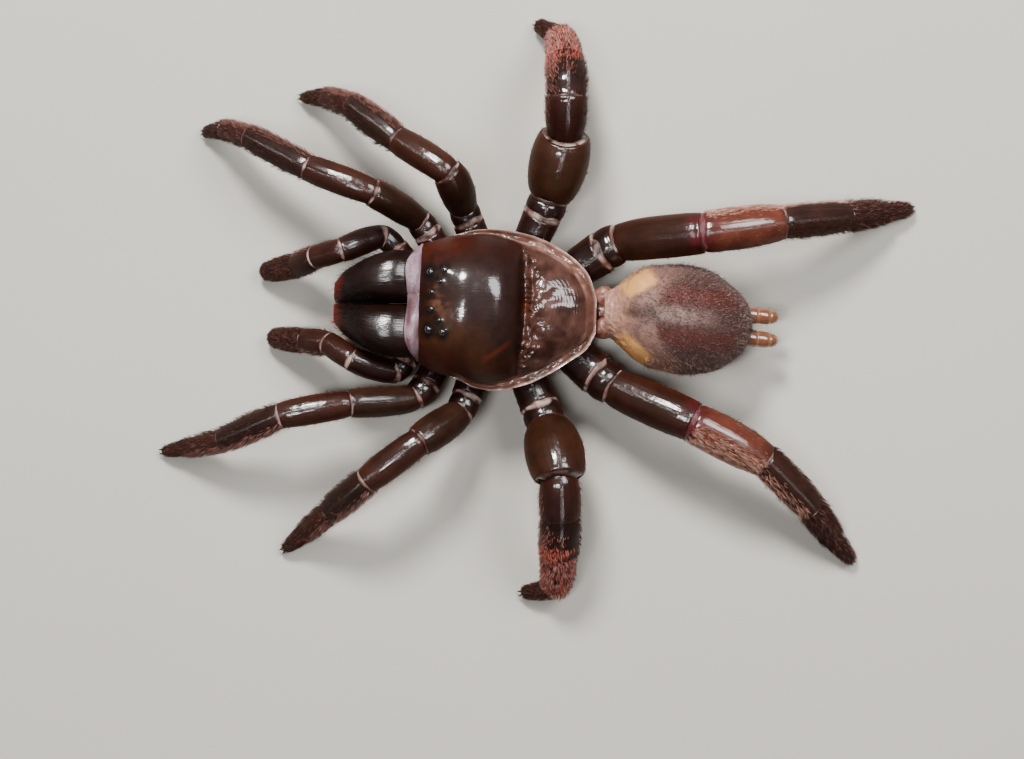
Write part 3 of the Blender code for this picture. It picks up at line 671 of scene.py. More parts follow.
LIMB_HAIR = {
    "leg_1": FRONT_LEG_HAIR,
    "leg_2": FRONT_LEG_HAIR,
    "leg_3": (
        ("coxa", 6, 0.24, 32, 180, 130, 0.1, 1.0, BLACK_HAIR, 0.014),
        ("trochanter", 6, 0.24, 32, 180, 130, 0.0, 1.0, BLACK_HAIR, 0.014),
        ("femur", 9, 0.22, 26, 180, 112, 0.05, 1.0, BLACK_HAIR, 0.013),
        ("patella", 26, 0.32, 22, 72, 30, 0.3, 1.0, ROSY_HAIR, 0.013),
        ("patella", 20, 0.3, 26, 200, 112, 0.1, 1.0, BROWN_HAIR, 0.014),
        ("tibia", 60, 0.28, 26, 56, 40, 0.0, 1.0, ROSY_HAIR, 0.011),
        ("tibia", 90, 0.26, 26, 20, 76, 0.6, 1.0, CORAL_HAIR, 0.011),
        ("tibia", 26, 0.24, 26, 14, 50, 0.25, 0.75, CORAL_HAIR, 0.011),
        ("tibia", 40, 0.36, 28, 200, 112, 0.0, 1.0, BROWN_HAIR, 0.014),
        ("metatarsus", 110, 0.28, 34, 8, 84, 0.0, 1.0, CORAL_HAIR, 0.011),
        ("metatarsus", 70, 0.34, 40, 10, 90, 0.0, 1.0, PALE_HAIR, 0.008),
        ("metatarsus", 110, 0.3, 36, 10, 90, 0.0, 1.0, WINE_SKIN, 0.012),
        ("metatarsus", 60, 0.4, 28, 190, 110, 0.0, 1.0, BROWN_HAIR, 0.014),
        ("tarsus", 130, 0.32, 24, 0, ALL_ROUND, 0.0, 1.0, RUSSET_HAIR, 0.014),
    ),
    "leg_4": (
        ("coxa", 6, 0.24, 32, 180, 130, 0.1, 1.0, BLACK_HAIR, 0.014),
        ("trochanter", 6, 0.24, 32, 180, 130, 0.0, 1.0, BLACK_HAIR, 0.014),
        ("femur", 8, 0.24, 24, 180, 115, 0.05, 1.0, BLACK_HAIR, 0.013),
        ("patella", 110, 0.42, 8, 50, 44, 0.03, 1.0, PINK_HAIR, 0.011),
        ("patella", 50, 0.42, 12, 50, 44, 0.03, 1.0, PALE_HAIR, 0.008),
        ("patella", 7, 0.32, 9, -20, 50, 0.1, 1.0, ROSY_HAIR, 0.01),
        ("patella", 14, 0.26, 24, 200, 115, 0.05, 1.0, BROWN_HAIR, 0.013),
        ("tibia", 50, 0.5, 14, 54, 36, 0.0, 1.0, PINK_HAIR, 0.01),
        ("tibia", 70, 0.46, 20, -66, 34, 0.0, 1.0, BROWN_HAIR, 0.012),
        ("tibia", 36, 0.36, 26, 200, 112, 0.0, 1.0, BROWN_HAIR, 0.014),
        ("metatarsus", 90, 0.6, 24, 180, 150, 0.0, 1.0, BROWN_HAIR, 0.012),
        ("metatarsus", 70, 0.5, 18, 0, 80, 0.0, 1.0, BROWN_HAIR, 0.011),
        ("metatarsus", 22, 0.55, 20, 0, ALL_ROUND, 0.0, 1.0, ROSY_HAIR, 0.008),
        ("tarsus", 130, 0.5, 24, 0, ALL_ROUND, 0.0, 1.0, BROWN_HAIR, 0.011),
        ("tarsus", 24, 0.5, 26, 0, ALL_ROUND, 0.0, 1.0, ROSY_HAIR, 0.008),
    ),
    "palp": (
        ("femur", 9, 0.22, 28, 180, 112, 0.1, 1.0, BLACK_HAIR, 0.013),
        ("patella", 10, 0.22, 28, 180, 112, 0.1, 1.0, BLACK_HAIR, 0.013),
        ("tibia", 40, 0.32, 24, 80, 45, 0.0, 1.0, ROSY_HAIR, 0.013),
        ("tibia", 26, 0.32, 28, 200, 110, 0.0, 1.0, BROWN_HAIR, 0.014),
        ("tarsus", 130, 0.32, 24, 0, ALL_ROUND, 0.0, 1.0, RUSSET_HAIR, 0.014),
    ),
}

# How far the hair patches of a limb are turned outwards, as the limb lies rolled
HAIR_ROLL = {"leg_4_right": 34, "leg_4_left": -8}

# Rows of short digging spines: plates that carry them, and the sides they stand on
THORN_PLATES = {
    "leg_1": ("tibia", "metatarsus", "tarsus"), "leg_2": ("tibia", "metatarsus", "tarsus"),
    "palp": ("tibia", "tarsus"), "leg_3": ("metatarsus",), "leg_4": (),
}
THORN_SIDES = (-126, 126)
THORN_SPACING = 0.34
THORN_LENGTH = 0.26
THORN_RADIUS = 0.06


def limb_joints(limb, side):
    """Places of the joints from the sternum to the tip, and the way through each."""
    sign = SIGNS[side]
    hip, headings, low_heights = STANCE[f"{limb}_{side}"]
    turn = math.radians(COXA_ANGLES[limb])
    out = unit([
        sign * math.sin(turn) / STERNUM_HALF_WIDTH, -math.cos(turn) / STERNUM_HALF_LENGTH, 0,
    ])
    places = [
        np.array([
            sign * STERNUM_HALF_WIDTH * math.sin(turn),
            STERNUM_CENTRE_Y - STERNUM_HALF_LENGTH * math.cos(turn),
            COXA_HEIGHT,
        ]),
        np.array([sign * hip[0], hip[1], low_heights[0]]),
    ]
    heights = (*low_heights, FOOT_HEIGHT)
    for length, heading, low, high in zip(LIMB_LENGTHS[limb], headings, heights, heights[1:]):
        rise = high - low
        reach = math.sqrt(length**2 - rise**2)
        angle = math.radians(heading)
        step = np.array([sign * math.sin(angle) * reach, -math.cos(angle) * reach, rise])
        places.append(places[-1] + step)
    steps = [unit(b - a) for a, b in zip(places, places[1:])]
    ways = [out, *(unit(a + b) for a, b in zip(steps, steps[1:])), steps[-1]]
    return places, ways


def limb_line(joints, index, t):
    """Places and directions on the smooth middle line between two joints."""
    places, ways = joints
    low, high = places[index], places[index + 1]
    pull = JOINT_BEND * np.linalg.norm(high - low)
    t = np.asarray(t, float)[:, None]
    start, end = ways[index] * pull, ways[index + 1] * pull
    point = (
        low * (2 * t**3 - 3 * t**2 + 1) + start * (t**3 - 2 * t**2 + t)
        + high * (3 * t**2 - 2 * t**3) + end * (t**3 - t**2)
    )
    way = (
        low * (6 * t**2 - 6 * t) + start * (3 * t**2 - 4 * t + 1)
        + high * (6 * t - 6 * t**2) + end * (3 * t**2 - 2 * t)
    )
    return point, unit(way)


def outer_side(limb, sign):
    """The side that hair patches are measured towards: outwards, or ahead on leg 3."""
    return np.array([0.0, -1.0, 0.0]) if limb == "leg_3" else np.array([float(sign), 0.0, 0.0])


def limb_rings(centres, ways, heights, widths, reference, turns):
    """Rings square to the middle line; turn 0 is the top, and turns go to the outer side."""
    up = unit(np.array([0.0, 0.0, 1.0]) - ways * ways[:, 2:3])
    side = np.cross(ways, up)
    side = side * (1 if np.sum(side.mean(0) * reference) > 0 else -1)
    return (
        centres[:, None]
        + up[:, None] * (np.cos(turns) * heights[:, None])[..., None]
        + side[:, None] * (np.sin(turns) * widths[:, None])[..., None]
    )


def swell(share, radii):
    start, middle, end = radii
    return (
        start * (1 - share) * (1 - 2 * share) + middle * 4 * share * (1 - share)
        + end * share * (2 * share - 1)
    )


LIMB_COLUMNS = 36
PLATE_ROWS = 32
# Each plate starts this far inside the one before it, and is narrower there
NEST = 0.26
COLLAR_DEPTH = 0.13


def plate_grid(joints, limb, kind, index, low, high, reference, gap_before):
    """One hard plate: narrow collar, full middle, thick lip round the far end."""
    places, _ = joints
    radii = SEGMENT_RADII[limb][kind]
    length = np.linalg.norm(places[index + 1] - places[index]) * (high - low)
    first = (gap_before * 0.5 - NEST) / length
    last = 1 - BANDS[kind][0] * 0.5 / length
    tip = kind == "tarsus"
    even = np.linspace(0, 1, PLATE_ROWS)
    share = first + (last - first) * (even - 0.1 * np.sin(math.tau * even))
    from_start = (share - first) * length
    from_end = (last - share) * length
    size = swell(np.clip(share, 0, 1), radii)
    collar = 1 - COLLAR_DEPTH * (1 - ease(0.0, NEST + 0.45 * radii[0], from_start)) ** 1.5
    lip = 1 + 0.02 * bell(from_end - 0.08, 0.1)
    if tip:
        lip = np.sqrt(np.clip(1 - (1 - from_end / radii[2]).clip(0) ** 2, 0.02, 1))
    size = size * collar * lip
    centres, ways = limb_line(joints, index, low + share * (high - low))
    turns = round_turns(LIMB_COLUMNS)
    height = size * (1.05 if kind in ("femur", "patella") else 1.0)
    grid = limb_rings(centres, ways, height, size, reference, turns)
    if not tip:
        # The far edge is notched on top and reaches forward at the sides, over the hinge
        edge = ease(0.9 * radii[2], 0.0, from_end)[:, None]
        reach = 0.07 * radii[2] * (-np.cos(2 * turns) * 0.7 - np.cos(turns) * 0.3)
        grid = grid + ways[:, None] * (edge * reach)[..., None]
    if limb == "leg_3" and kind == "tibia":
        grid[..., 2] -= 0.22 * bell(share - 0.16, 0.16)[:, None] * np.clip(np.cos(turns), 0, 1)
    grid = grid + grid_normals(grid) * (0.02 * wander(grid, 0.8, 21))[..., None]
    return grid, turns, share, ways, from_start


def ring_scaled(grid_row, scale, shift):
    middle = grid_row.mean(0)
    return middle + (grid_row - middle) * scale + shift


def skin_edge(grid, from_start, reach):
    """A ring on a plate's surface, at its own distance from the start for each column."""
    rows = np.clip(np.interp(reach, from_start, np.arange(len(from_start))), 0, len(grid) - 1.01)
    low = np.floor(rows).astype(int)
    part = (rows - low)[:, None]
    column = np.arange(grid.shape[1])
    ring = grid[low, column] * (1 - part) + grid[low + 1, column] * part
    middle = grid.mean(1)[low]
    return middle + (ring - middle) * 1.02


def plate_tone(limb, kind, grid, turns, share):
    """Dark plates with redder thin ends, and amber low on the sides as a painted glow of light
    shining through.
    """
    base = PLATE_TONES[limb].get(kind, DARK)
    rows, columns = grid.shape[:2]
    tone = np.broadcast_to(base, (rows, columns, 4)).copy()
    ends = np.clip(bell(share - 0.04, 0.12) + bell(share - 0.98, 0.05), 0, 1)
    tone = blend_colour(tone, REDDISH, 0.5 * ends[:, None] * np.ones(columns))
    if limb == WINE_JOINT and kind in ("femur", "patella"):
        near = bell(share - (0.02 if kind == "patella" else 1.0), 0.13)[:, None]
        tone = blend_colour(tone, WINE_SKIN, 0.85 * near * ease(-0.7, 0.5, wander(grid, 0.4, 38)))
    # Painted glow: the low sides turn amber, as where light shines through thin cuticle
    low = ease(0.8, -0.4, np.cos(turns)) * ease(0.0, 0.3, share)[:, None]
    amber = 0.7 if kind in ("femur", "patella") else 0.4
    tone = blend_colour(tone, AMBER_TONE_AND_GLOW, amber * low)
    tone = blend_colour(tone, DARK, 0.5 * ease(0.1, 0.9, wander(grid, 1.3, 23)))
    tone[..., 3] = ease(0.1, 0.8, np.cos(turns)) * flat_gloss(grid_normals(grid))
    return tone


def hair_mask(turns, share, middle, half, start, end):
    """Where a hair patch lies, with soft edges, as a share for each point of a plate."""
    gap = np.abs((np.degrees(turns) - middle + 180) % 360 - 180)
    around = 1 - ease(half * 0.75, half * 1.1, gap) if half < 180 else np.ones_like(gap)
    along = ease(start - 0.04, start + 0.08, share) * (1 - ease(end - 0.02, end + 0.04, share))
    if start <= 0:
        along = np.ones_like(share)
    return along[:, None] * around


def add_plate(shell, kind, grid, ways, tone, box):
    """A plate with its hidden start and, unless it is the last one, its rim and socket, painted dark
    as shade in the open end.
    """
    rings = [ring_scaled(grid[0], 0.8, ways[0] * 0.1)[None], grid]
    tones = [tone[:1], tone]
    if kind != "tarsus":
        rings.append(ring_scaled(grid[-1], 0.93, ways[-1] * 0.03)[None])
        rings.append(ring_scaled(grid[-1], 0.84, -ways[-1] * 0.15)[None])
        # Painted shade: the rim and the socket inside it take the darkest plate colour
        tones.append(np.broadcast_to(DARK, (2, *tone.shape[1:])))
    shell.add(np.concatenate(rings), np.concatenate(tones), box)


def plant_limb_hair(coat, name, limb, kind, grid, normals, turns, share, box):
    """The patches of hair on one plate, thicker in some places than in others."""
    for row in LIMB_HAIR[limb]:
        plate, density, length, lean, middle, half, start, end, colour, radius = row
        if plate != kind:
            continue
        middle = middle + HAIR_ROLL.get(name, 0)
        mask = hair_mask(turns, share, middle, half, start, end)
        mask = mask * np.clip(1 + 1.1 * wander(grid, 0.3, 41), 0.1, 2)
        if kind == "tarsus":
            length = length * (1 - 0.5 * share[:, None])
        coat.plant(grid, normals, density * mask, length, lean, colour, radius, uv_box=box)


def make_limb(limb, side, number):
    name = f"{limb}_{side}"
    joints = limb_joints(limb, side)
    reference = outer_side(limb, SIGNS[side])
    plates = PALP_PLATES if limb == "palp" else LEG_PLATES
    shell = Shell()
    skin = Shell()
    coat = Coat(f"{name}_hair", BRISTLE, "bristly_cuticle", number)
    gap_before = HIP_GAP
    end_ring = None
    gap, shown, paleness = FIRST_BAND
    for order, (kind, index, low, high) in enumerate(plates):
        grid, turns, share, ways, from_start = plate_grid(
            joints, limb, kind, index, low, high, reference, gap_before
        )
        box = (order / len(plates), 0.0, (order + 1) / len(plates), 1.0)
        tone = plate_tone(limb, kind, grid, turns, share)
        add_plate(shell, kind, grid, ways, tone, box)
        if end_ring is None:
            end_ring = ring_scaled(grid[0], 0.9, -ways[0] * 0.55)
        wine = limb == WINE_JOINT and kind == "patella"
        flanked = limb == FLANKED_JOINT and kind == "patella"
        crescent = 0.55 + 0.45 * np.cos(turns) + 0.7 * wander(grid[3], 0.45, 27)
        if flanked:
            crescent = crescent + 4.0 * np.clip(np.abs(np.sin(turns)) - 0.6, 0, 1) - 0.2
        reach = shown * np.clip(crescent, 0.1, None) * (3.0 if wine else 1.0)
        start_ring = skin_edge(grid, from_start, NEST - gap + 0.03 + reach)
        add_joint_skin(skin, end_ring, start_ring, paleness, wine)
        end_ring = ring_scaled(grid[-1], 0.93, -ways[-1] * 0.06)
        gap, shown, paleness = BANDS[kind]
        if flanked:
            shown, paleness = 0.02, 0.1
        normals = grid_normals(grid)
        plant_limb_hair(coat, name, limb, kind, grid, normals, turns, share, box)
        if kind in THORN_PLATES[limb]:
            add_thorns(shell, coat.rng, grid, normals, turns)
        gap_before = gap
    if limb != "palp":
        add_claws(shell, joints)
    tip = "tarsus" if limb == "palp" else "foot"
    nodes = [f"{name}_{part}" for part in ("coxa", "femur", "patella_tibia", tip)]
    shell.build(f"{name}_plates", TANNED_CUTICLE, "cuticle", nodes)
    skin.build(f"{name}_joint_skin", JOINT_SKIN, "cuticle")
    coat.build()


JOINT_SKIN_ROWS = 10
JOINT_SKIN_BULGE = 0.05


def add_joint_skin(skin, first, second, paleness, wine):
    """Soft skin between two plates, with a few folds round the limb, and painted light: paler on its
    upper side, darker below.
    """
    middle = (first.mean(0) + second.mean(0)) / 2
    outward = unit((first + second) / 2 - middle)
    w = np.linspace(0, 1, JOINT_SKIN_ROWS)[:, None, None]
    swelling = np.sin(math.pi * w)
    fold = JOINT_SKIN_BULGE * swelling * (1 + 0.22 * np.cos(math.tau * 2.5 * w))
    grid = first * (1 - w) + second * w + outward * fold
    share = np.clip(0.5 + 1.1 * wander(grid, 0.5, 3), 0, 1)
    pale = blend_colour(PALE_SKIN, PINK_SKIN, share)
    # Painted light: paler on the upper side, where light falls, and darker below
    upper = ease(-0.6, 0.4, (grid[..., 2] - middle[2]) / max(np.ptp(first[:, 2]) / 2, 0.1))
    patchy = 1.3 * wander(grid, 0.32, 22)
    light = np.clip(paleness * (0.3 + 0.7 * upper) * (1 + patchy) + 0.3 * patchy, 0, 1)
    light = light * (1 - 0.75 * ease(0.55, 1.0, w[..., 0]))
    crinkle = 0.06 * np.abs(wander(grid, 0.22, 33))[..., None] * swelling
    tone = blend_colour(WINE_SKIN if wine else DARK_SKIN, pale, 0.06 if wine else light)
    skin.add(grid + crinkle * outward, tone)


def add_thorns(shell, rng, grid, normals, turns):
    """Short stout digging spines along both lower sides of a plate."""
    along = np.linalg.norm(np.diff(grid.mean(1), axis=0), axis=1)
    places = np.concatenate([[0], np.cumsum(along)])
    for side in THORN_SIDES:
        for at in np.arange(0.3, places[-1] - 0.15, THORN_SPACING):
            i = int(np.searchsorted(places, at + 0.08 * rng.standard_normal()))
            i = min(max(i, 1), len(grid) - 2)
            angle = math.radians(side + 16 * rng.standard_normal())
            j = int(round(angle / math.tau * len(turns))) % len(turns)
            way = unit(grid[i + 1, j] - grid[i, j])
            rise = unit(normals[i, j] * 0.6 + way * 0.8)
            size = THORN_LENGTH * (1 + 0.2 * rng.standard_normal())
            root = grid[i, j] - normals[i, j] * 0.06
            add_spike(shell, root, rise, way, size, THORN_RADIUS, DARK)


def add_spike(shell, root, rise, bend, length, radius, tone, columns=6, rows=5, hook=0.15):
    """A solid spike from root along rise, leaning over towards bend at its tip."""
    side = unit(np.cross(rise, bend) + 1e-6)
    third = np.cross(side, rise)
    turns = round_turns(columns)[:, None]
    w = np.linspace(0, 1, rows)[:, None, None]
    centre = root + rise * length * w + bend * length * hook * w * w
    size = radius * ((1 - w) ** 0.7 + 0.06)
    shell.add(centre + (side * np.cos(turns) + third * np.sin(turns)) * size, tone)


def sweep(points, radii, columns, upward=(0.0, 0.0, 1.0)):
    """Rings along a smooth line through points, with radii read the same way."""
    stations = [(k, *p, r) for k, (p, r) in enumerate(zip(points, radii))]
    rows = 8 * (len(points) - 1) + 1
    places = np.linspace(0, len(points) - 1, rows)
    values = np.array([smooth_between(stations, place) for place in places])
    centres, sizes = values[:, :3], values[:, 3:]
    ways = unit(np.gradient(centres, axis=0))
    side = unit(np.cross(ways, upward) + 1e-6)
    third = np.cross(side, ways)
    turns = round_turns(columns)
    return (
        centres[:, None]
        + side[:, None] * (np.cos(turns) * sizes)[..., None]
        + third[:, None] * (np.sin(turns) * sizes)[..., None]
    )


CLAW_PATHS = (
    # forwards from the tip, sideways, upwards, radius
    (-0.4, 0.07, -0.04, 0.09),
    (-0.12, 0.09, 0.04, 0.07),
    (0.1, 0.12, 0.03, 0.05),
    (0.24, 0.15, -0.1, 0.035),
    (0.26, 0.16, -0.24, 0.01),
)


def add_claws(shell, joints):
    places, ways = joints
    forward = unit([ways[-1][0], ways[-1][1], 0])
    side = np.array([-forward[1], forward[0], 0])
    for sign in (-1, 1):
        path = [
            places[-1] + forward * along + side * sign * aside + np.array([0, 0, rise])
            for along, aside, rise, _ in CLAW_PATHS
        ]
        shell.add(sweep(path, [row[3] for row in CLAW_PATHS], 8), BLACK_HAIR)


# Carapace


CARAPACE_BASE = 4.5
RIM_THICKNESS = 0.4
# y, half width on the right, half width on the left, height of the crest
CARAPACE_STATIONS = (
    (-7.2, 3.7, 3.5, 7.1),
    (-6.3, 4.0, 4.02, 7.9),
    (-4.8, 4.45, 4.42, 8.4),
    (-3.8, 4.7, 4.88, 8.4),
    (-2.4, 4.72, 5.02, 8.15),
    (-0.6, 4.45, 4.6, 7.0),
    (0.8, 3.92, 3.9, 6.75),
    (2.2, 3.0, 2.95, 6.4),
    (3.0, 2.1, 2.3, 5.8),
    (3.5, 0.75, 1.35, 4.95),
)
FOVEA_Y = -0.85
FOVEA_CURVE = 0.022
CARAPACE_BACK_Y = 3.5
HEAD_DARK = hex_colour("#1e0b07")
HEAD_SIDE = hex_colour("#38140a")
HEAD_BROWN = hex_colour("#341b0b")
THORAX_BROWN = hex_colour("#2c150e")
THORAX_PALE = hex_colour("#583a32")
RIM_SKIN = hex_colour("#6c483c")
# Pale rim edge, also painted as a highlight line along the rim's inner side
RIM_EDGE_AND_HIGHLIGHT = hex_colour("#b49488")
PIGMENT = hex_colour("#060404")
ORANGE_PIT = hex_colour("#5a2a14")
STREAK_RED = hex_colour("#5e2010")
# Amber of the glare painted on the eye mound
MOUND_GLARE_AMBER = hex_colour("#6e4832")

EYE_CENTRE_X = -0.2
EYE_MOUND_Y = -5.95
EYES = {
    "anterior_lateral": (1.72, -6.55, 0.3),
    "anterior_median": (0.5, -6.42, 0.22),
    "posterior_median": (1.16, -5.95, 0.2),
    "posterior_lateral": (1.85, -5.7, 0.27),
}
# How far the middle of each lens stands over the plate
EYE_RISE = 0.03
# The lens is a little narrower than the solid, which stands for its ring too
EYE_SHARE = 0.84


def carapace_edges(y):
    right, left, crest = np.array([smooth_between(CARAPACE_STATIONS, v) for v in np.ravel(y)]).T
    shape = np.shape(y)
    return right.reshape(shape), left.reshape(shape), crest.reshape(shape)


def rim_span(y):
    """Width of the thin rim, which grows towards the back."""
    return 0.3 + 0.42 * ease(-4.0, -0.5, y)


def past_groove(x, y):
    """How far a place lies behind the cross groove, which bends forward at both ends."""
    return y - FOVEA_Y + FOVEA_CURVE * x * x


def carapace_height(x, y):
    """A high front dome, the cross groove behind it, and the low crumpled thorax."""
    right, left, crest = carapace_edges(y)
    half = np.where(x < 0, right, left) - rim_span(y) * 0.85 * ease(-5.6, -3.8, y)
    share = np.clip(np.abs(x) / np.maximum(half, 0.3), 0, 1)
    top = CARAPACE_BASE + RIM_THICKNESS
    dome = (1 - share**2.4) ** 0.6
    past = past_groove(x, y)
    groove = 0.55 * bell(past, 0.28)
    ridge = 0.12 * bell(past - 0.42, 0.16) * ease(0.25, 0.6, np.abs(x))
    pit = 0.3 * bell(past, 0.26) * bell(x, 0.6)
    return top + (crest - top) * dome - (groove - ridge + pit) * dome


def eye_spots():
    for kind, (side, y, radius) in EYES.items():
        for label, sign in SIGNS.items():
            x = EYE_CENTRE_X + sign * side
            z = float(carapace_height(np.array(x), np.array(y))) + EYE_RISE
            yield f"eye_{kind}_{label}", np.array([x, y, z]), radius * EYE_SHARE


def carapace_rows(count):
    """y of rows from the front to the back, closer together towards the back."""
    steps = np.sin(np.linspace(0, math.pi / 2, count))
    return CARAPACE_FRONT_Y + (CARAPACE_BACK_Y - CARAPACE_FRONT_Y) * steps


# The carapace's lower side, as shares of its half width and heights
UNDERSIDE = (
    (1.0, 4.68), (0.93, 4.52), (0.5, 4.5), (-0.5, 4.5), (-0.93, 4.52), (-1.0, 4.68),
)


def carapace_relief(x, y, z, past, thorax):
    """Fine relief of the plate, and how crumpled the thorax looks at each place."""
    surface = plan_points(x, y, z)
    plan = plan_points(x, y, 0 * x)
    angle = np.arctan2(x, y - FOVEA_Y + 0.4)
    reach = np.hypot(x, y - FOVEA_Y)
    # Furrows run out from the pit, and finer wrinkles and arcs run across them
    furrows = np.cos(angle * 9 + 0.8 * wander(surface, 1.2, 1)) * ease(0.4, 1.6, reach)
    crumple = wander(surface, 0.7, 2) + 0.5 * wander(surface, 0.3, 4)
    folds = 1 - 2.2 * np.abs(wander(plan * np.array([1.0, 0.6, 1.0]), 0.55, 28))
    arcs = np.cos(reach * math.tau / 0.2 + 3.0 * wander(plan, 0.9, 32)) * wander(plan, 0.8, 39)
    relief = thorax * (0.06 * furrows + 0.02 * crumple + 0.012 * folds + 0.012 * arcs)
    # The creases are deepest along the groove, where the plate bulges here and there
    creases = 1 - 2.2 * np.abs(wander(plan, 0.28, 29))
    near_groove = bell(past - 0.6, 0.5) * (1 + 0.6 * ease(1.2, 2.6, np.abs(x)))
    relief = relief + near_groove * (0.08 * creases + 0.34 * wander(plan, 1.3, 40))
    relief = relief + 0.16 * creases * bell(past - 0.28, 0.2)
    # The head is nearly smooth
    relief = relief + (1 - thorax) * 0.014 * wander(plan, 0.7, 30)
    return relief, crumple + 0.2 * arcs


def make_carapace():
    columns, rows = 150, 170
    y_line = carapace_rows(rows)
    right, left, _ = carapace_edges(y_line)
    across = np.sin(np.linspace(-math.pi / 2, math.pi / 2, columns))
    x = np.where(across < 0, right[:, None], left[:, None]) * across
    y = np.broadcast_to(y_line[:, None], (rows, columns))
    z = carapace_height(x, y)
    outline = np.concatenate([
        np.stack([-right, y_line], 1), np.stack([left, y_line], 1),
        np.stack([np.linspace(-right[-1], left[-1], 30), np.full(30, CARAPACE_BACK_Y)], 1),
    ])
    edge = np.full(x.shape, 99.0)
    for spot in outline:
        edge = np.minimum(edge, np.hypot(x - spot[0], y - spot[1]))
    span = rim_span(y)
    inner = ease(0.8, 1.5, edge / span)
    behind = ease(-5.6, -3.8, y)
    past = past_groove(x, y)
    thorax = ease(-0.06, 0.14, past)
    relief, crumple = carapace_relief(x, y, z, past, thorax)
    z = z + inner * relief
    # The rim: a thin flange that curls up a little and wavers along its length
    plan = plan_points(x, y, 0 * x)
    flange = ease(span, span * 0.5, edge)
    ripple = 0.13 * wander(plan, 0.9, 24) + 0.07 * wander(plan, 0.32, 34)
    z = z + (0.16 * ease(0.3, 0.0, edge) + flange * ripple) * behind
    # Faint swellings on the head, and one under each eye
    z = z + (1 - thorax) * 0.05 * wander(plan_points(x, y, z), 1.6, 5) * inner
    for _, spot, radius in eye_spots():
        z = z + 0.1 * bell(np.hypot(x - spot[0], y - spot[1]), radius * 1.5)
    top = plan_points(x, y, z)
    tone = carapace_tone(x, y, edge / span, thorax, behind, past, crumple)
    tone[..., 3] = flat_gloss(np.abs(grid_normals(top, closed=False)))
    under = [
        plan_points((left if side > 0 else right) * side, y_line, np.full(rows, height))[:, None]
        for side, height in UNDERSIDE
    ]
    under_tone = np.broadcast_to(REDDISH, (rows, len(UNDERSIDE), 4))
    shell = Shell()
    shell.add(np.concatenate([top, *under], 1), np.concatenate([tone, under_tone], 1))
    shell.build("carapace_plate", CRUMPLED_CUTICLE, "cuticle", ["carapace"])


def carapace_tone(x, y, edge, thorax, behind, past, crumple):
    """Dark head and crumpled brown thorax, with a pale rim and black rings round the eyes."""
    plan = plan_points(x, y, 0 * x)
    side = ease(0.45, 0.95, np.abs(x) / np.where(x < 0, *carapace_edges(y)[:2]))
    spread = wander(plan, 1.8, 25)
    brown = np.clip(0.5 + 0.9 * spread, 0, 1) * ease(-1.5, 2.0, x)
    head = blend_colour(HEAD_DARK, HEAD_BROWN, brown)
    head = blend_colour(head, HEAD_SIDE, 0.8 * side * ease(-3.0, -5.5, y) + 0.35 * side)
    back = blend_colour(THORAX_BROWN, THORAX_PALE, np.clip(0.35 + 0.5 * crumple, 0, 1))
    tone = blend_colour(head, back, thorax)
    # The seam of the groove is redder, and orange in the pit at its middle
    tone = blend_colour(tone, REDDISH, 0.4 * bell(past + 0.03, 0.1))
    tone = blend_colour(tone, ORANGE_PIT, 0.8 * bell(past - 0.1, 0.22) * bell(x, 0.5))
    # A thin red streak runs slantwise on the left, ahead of the groove
    streak = bell(x - 2.8 + (y + 2.6) * 0.74, 0.16) * ease(-3.5, -3.0, y) * ease(-1.5, -2.1, y)
    tone = blend_colour(tone, STREAK_RED, 0.42 * streak)
    # The rim is pale thin cuticle, brightest at its very edge, with brown stretches, and a painted
    # highlight in a broken line along its inner side
    waver = wander(plan, 0.45, 35)
    rim = ease(1.12, 0.86, edge + 0.14 * spread + 0.08 * waver) * behind
    tone = blend_colour(tone, RIM_SKIN, (0.82 + 0.18 * waver) * rim)
    painted_highlight_line = ease(-0.2, 0.5, waver) * bell(edge - 0.8 + 0.2 * spread, 0.14)
    pale_edge_and_highlight = (ease(0.3, 0.06, edge) + 0.4 * painted_highlight_line) * (0.8 + 0.7 * waver)
    tone = blend_colour(tone, RIM_EDGE_AND_HIGHLIGHT, np.clip(0.75 * rim * pale_edge_and_highlight, 0, 1))
    tone = blend_colour(tone, THORAX_BROWN, 0.55 * rim * ease(0.0, 0.6, spread + 0.5 * waver))
    for name, spot, radius in eye_spots():
        ring = radius * (1.5 if "anterior_median" in name else 2.1)
        black = plateau(np.hypot(x - spot[0], y - spot[1]), ring)
        tone = blend_colour(tone, PIGMENT, 0.95 * black)
    # Painted glare: amber speckles of reflected light on the eye mound, between the eyes
    mound = bell(x - EYE_CENTRE_X, 1.4) * bell(y - EYE_MOUND_Y, 0.55)
    glare_speckles = ease(-0.3, 1.1, wander(plan, 0.42, 42) + 0.8 * wander(plan, 0.17, 43))
    return blend_colour(tone, MOUND_GLARE_AMBER, 0.5 * mound * glare_speckles)


def make_eyes():
    """Lenses stand a little proud of the head, each in its black ring."""
    ball = unit_ball(14, 24, 0.02)
    clear = ease(0.25, 0.75, ball[..., 2])
    for name, spot, radius in eye_spots():
        glass = hex_colour("#16181c" if "lateral" in name else "#0e0c0c")
        lens = Shell()
        lens.add(ball * radius + spot, blend_colour(PIGMENT, glass, clear))
        lens.build(f"{name}_lens", EYE_LENS, "eye", [name])


# Chelicerae and fangs


CHELICERA_STATIONS = (
    # y, x of the middle, half width, height of the middle, half height
    (-12.5, 0.72, 0.5, 3.45, 0.8),
    (-12.0, 0.96, 0.86, 3.75, 1.45),
    (-11.3, 1.22, 1.1, 4.3, 1.9),
    (-10.4, 1.48, 1.3, 4.9, 2.05),
    (-8.9, 1.72, 1.52, 5.35, 1.85),
    (-7.5, 1.72, 1.48, 5.3, 1.5),
)
CHELICERA_FRONT_Y = CHELICERA_STATIONS[0][0]
CHELICERA_BACK_Y = CHELICERA_STATIONS[-1][0]
# 2 gives an oval outline, and more gives it corners
CHELICERA_SQUARENESS = 2.15
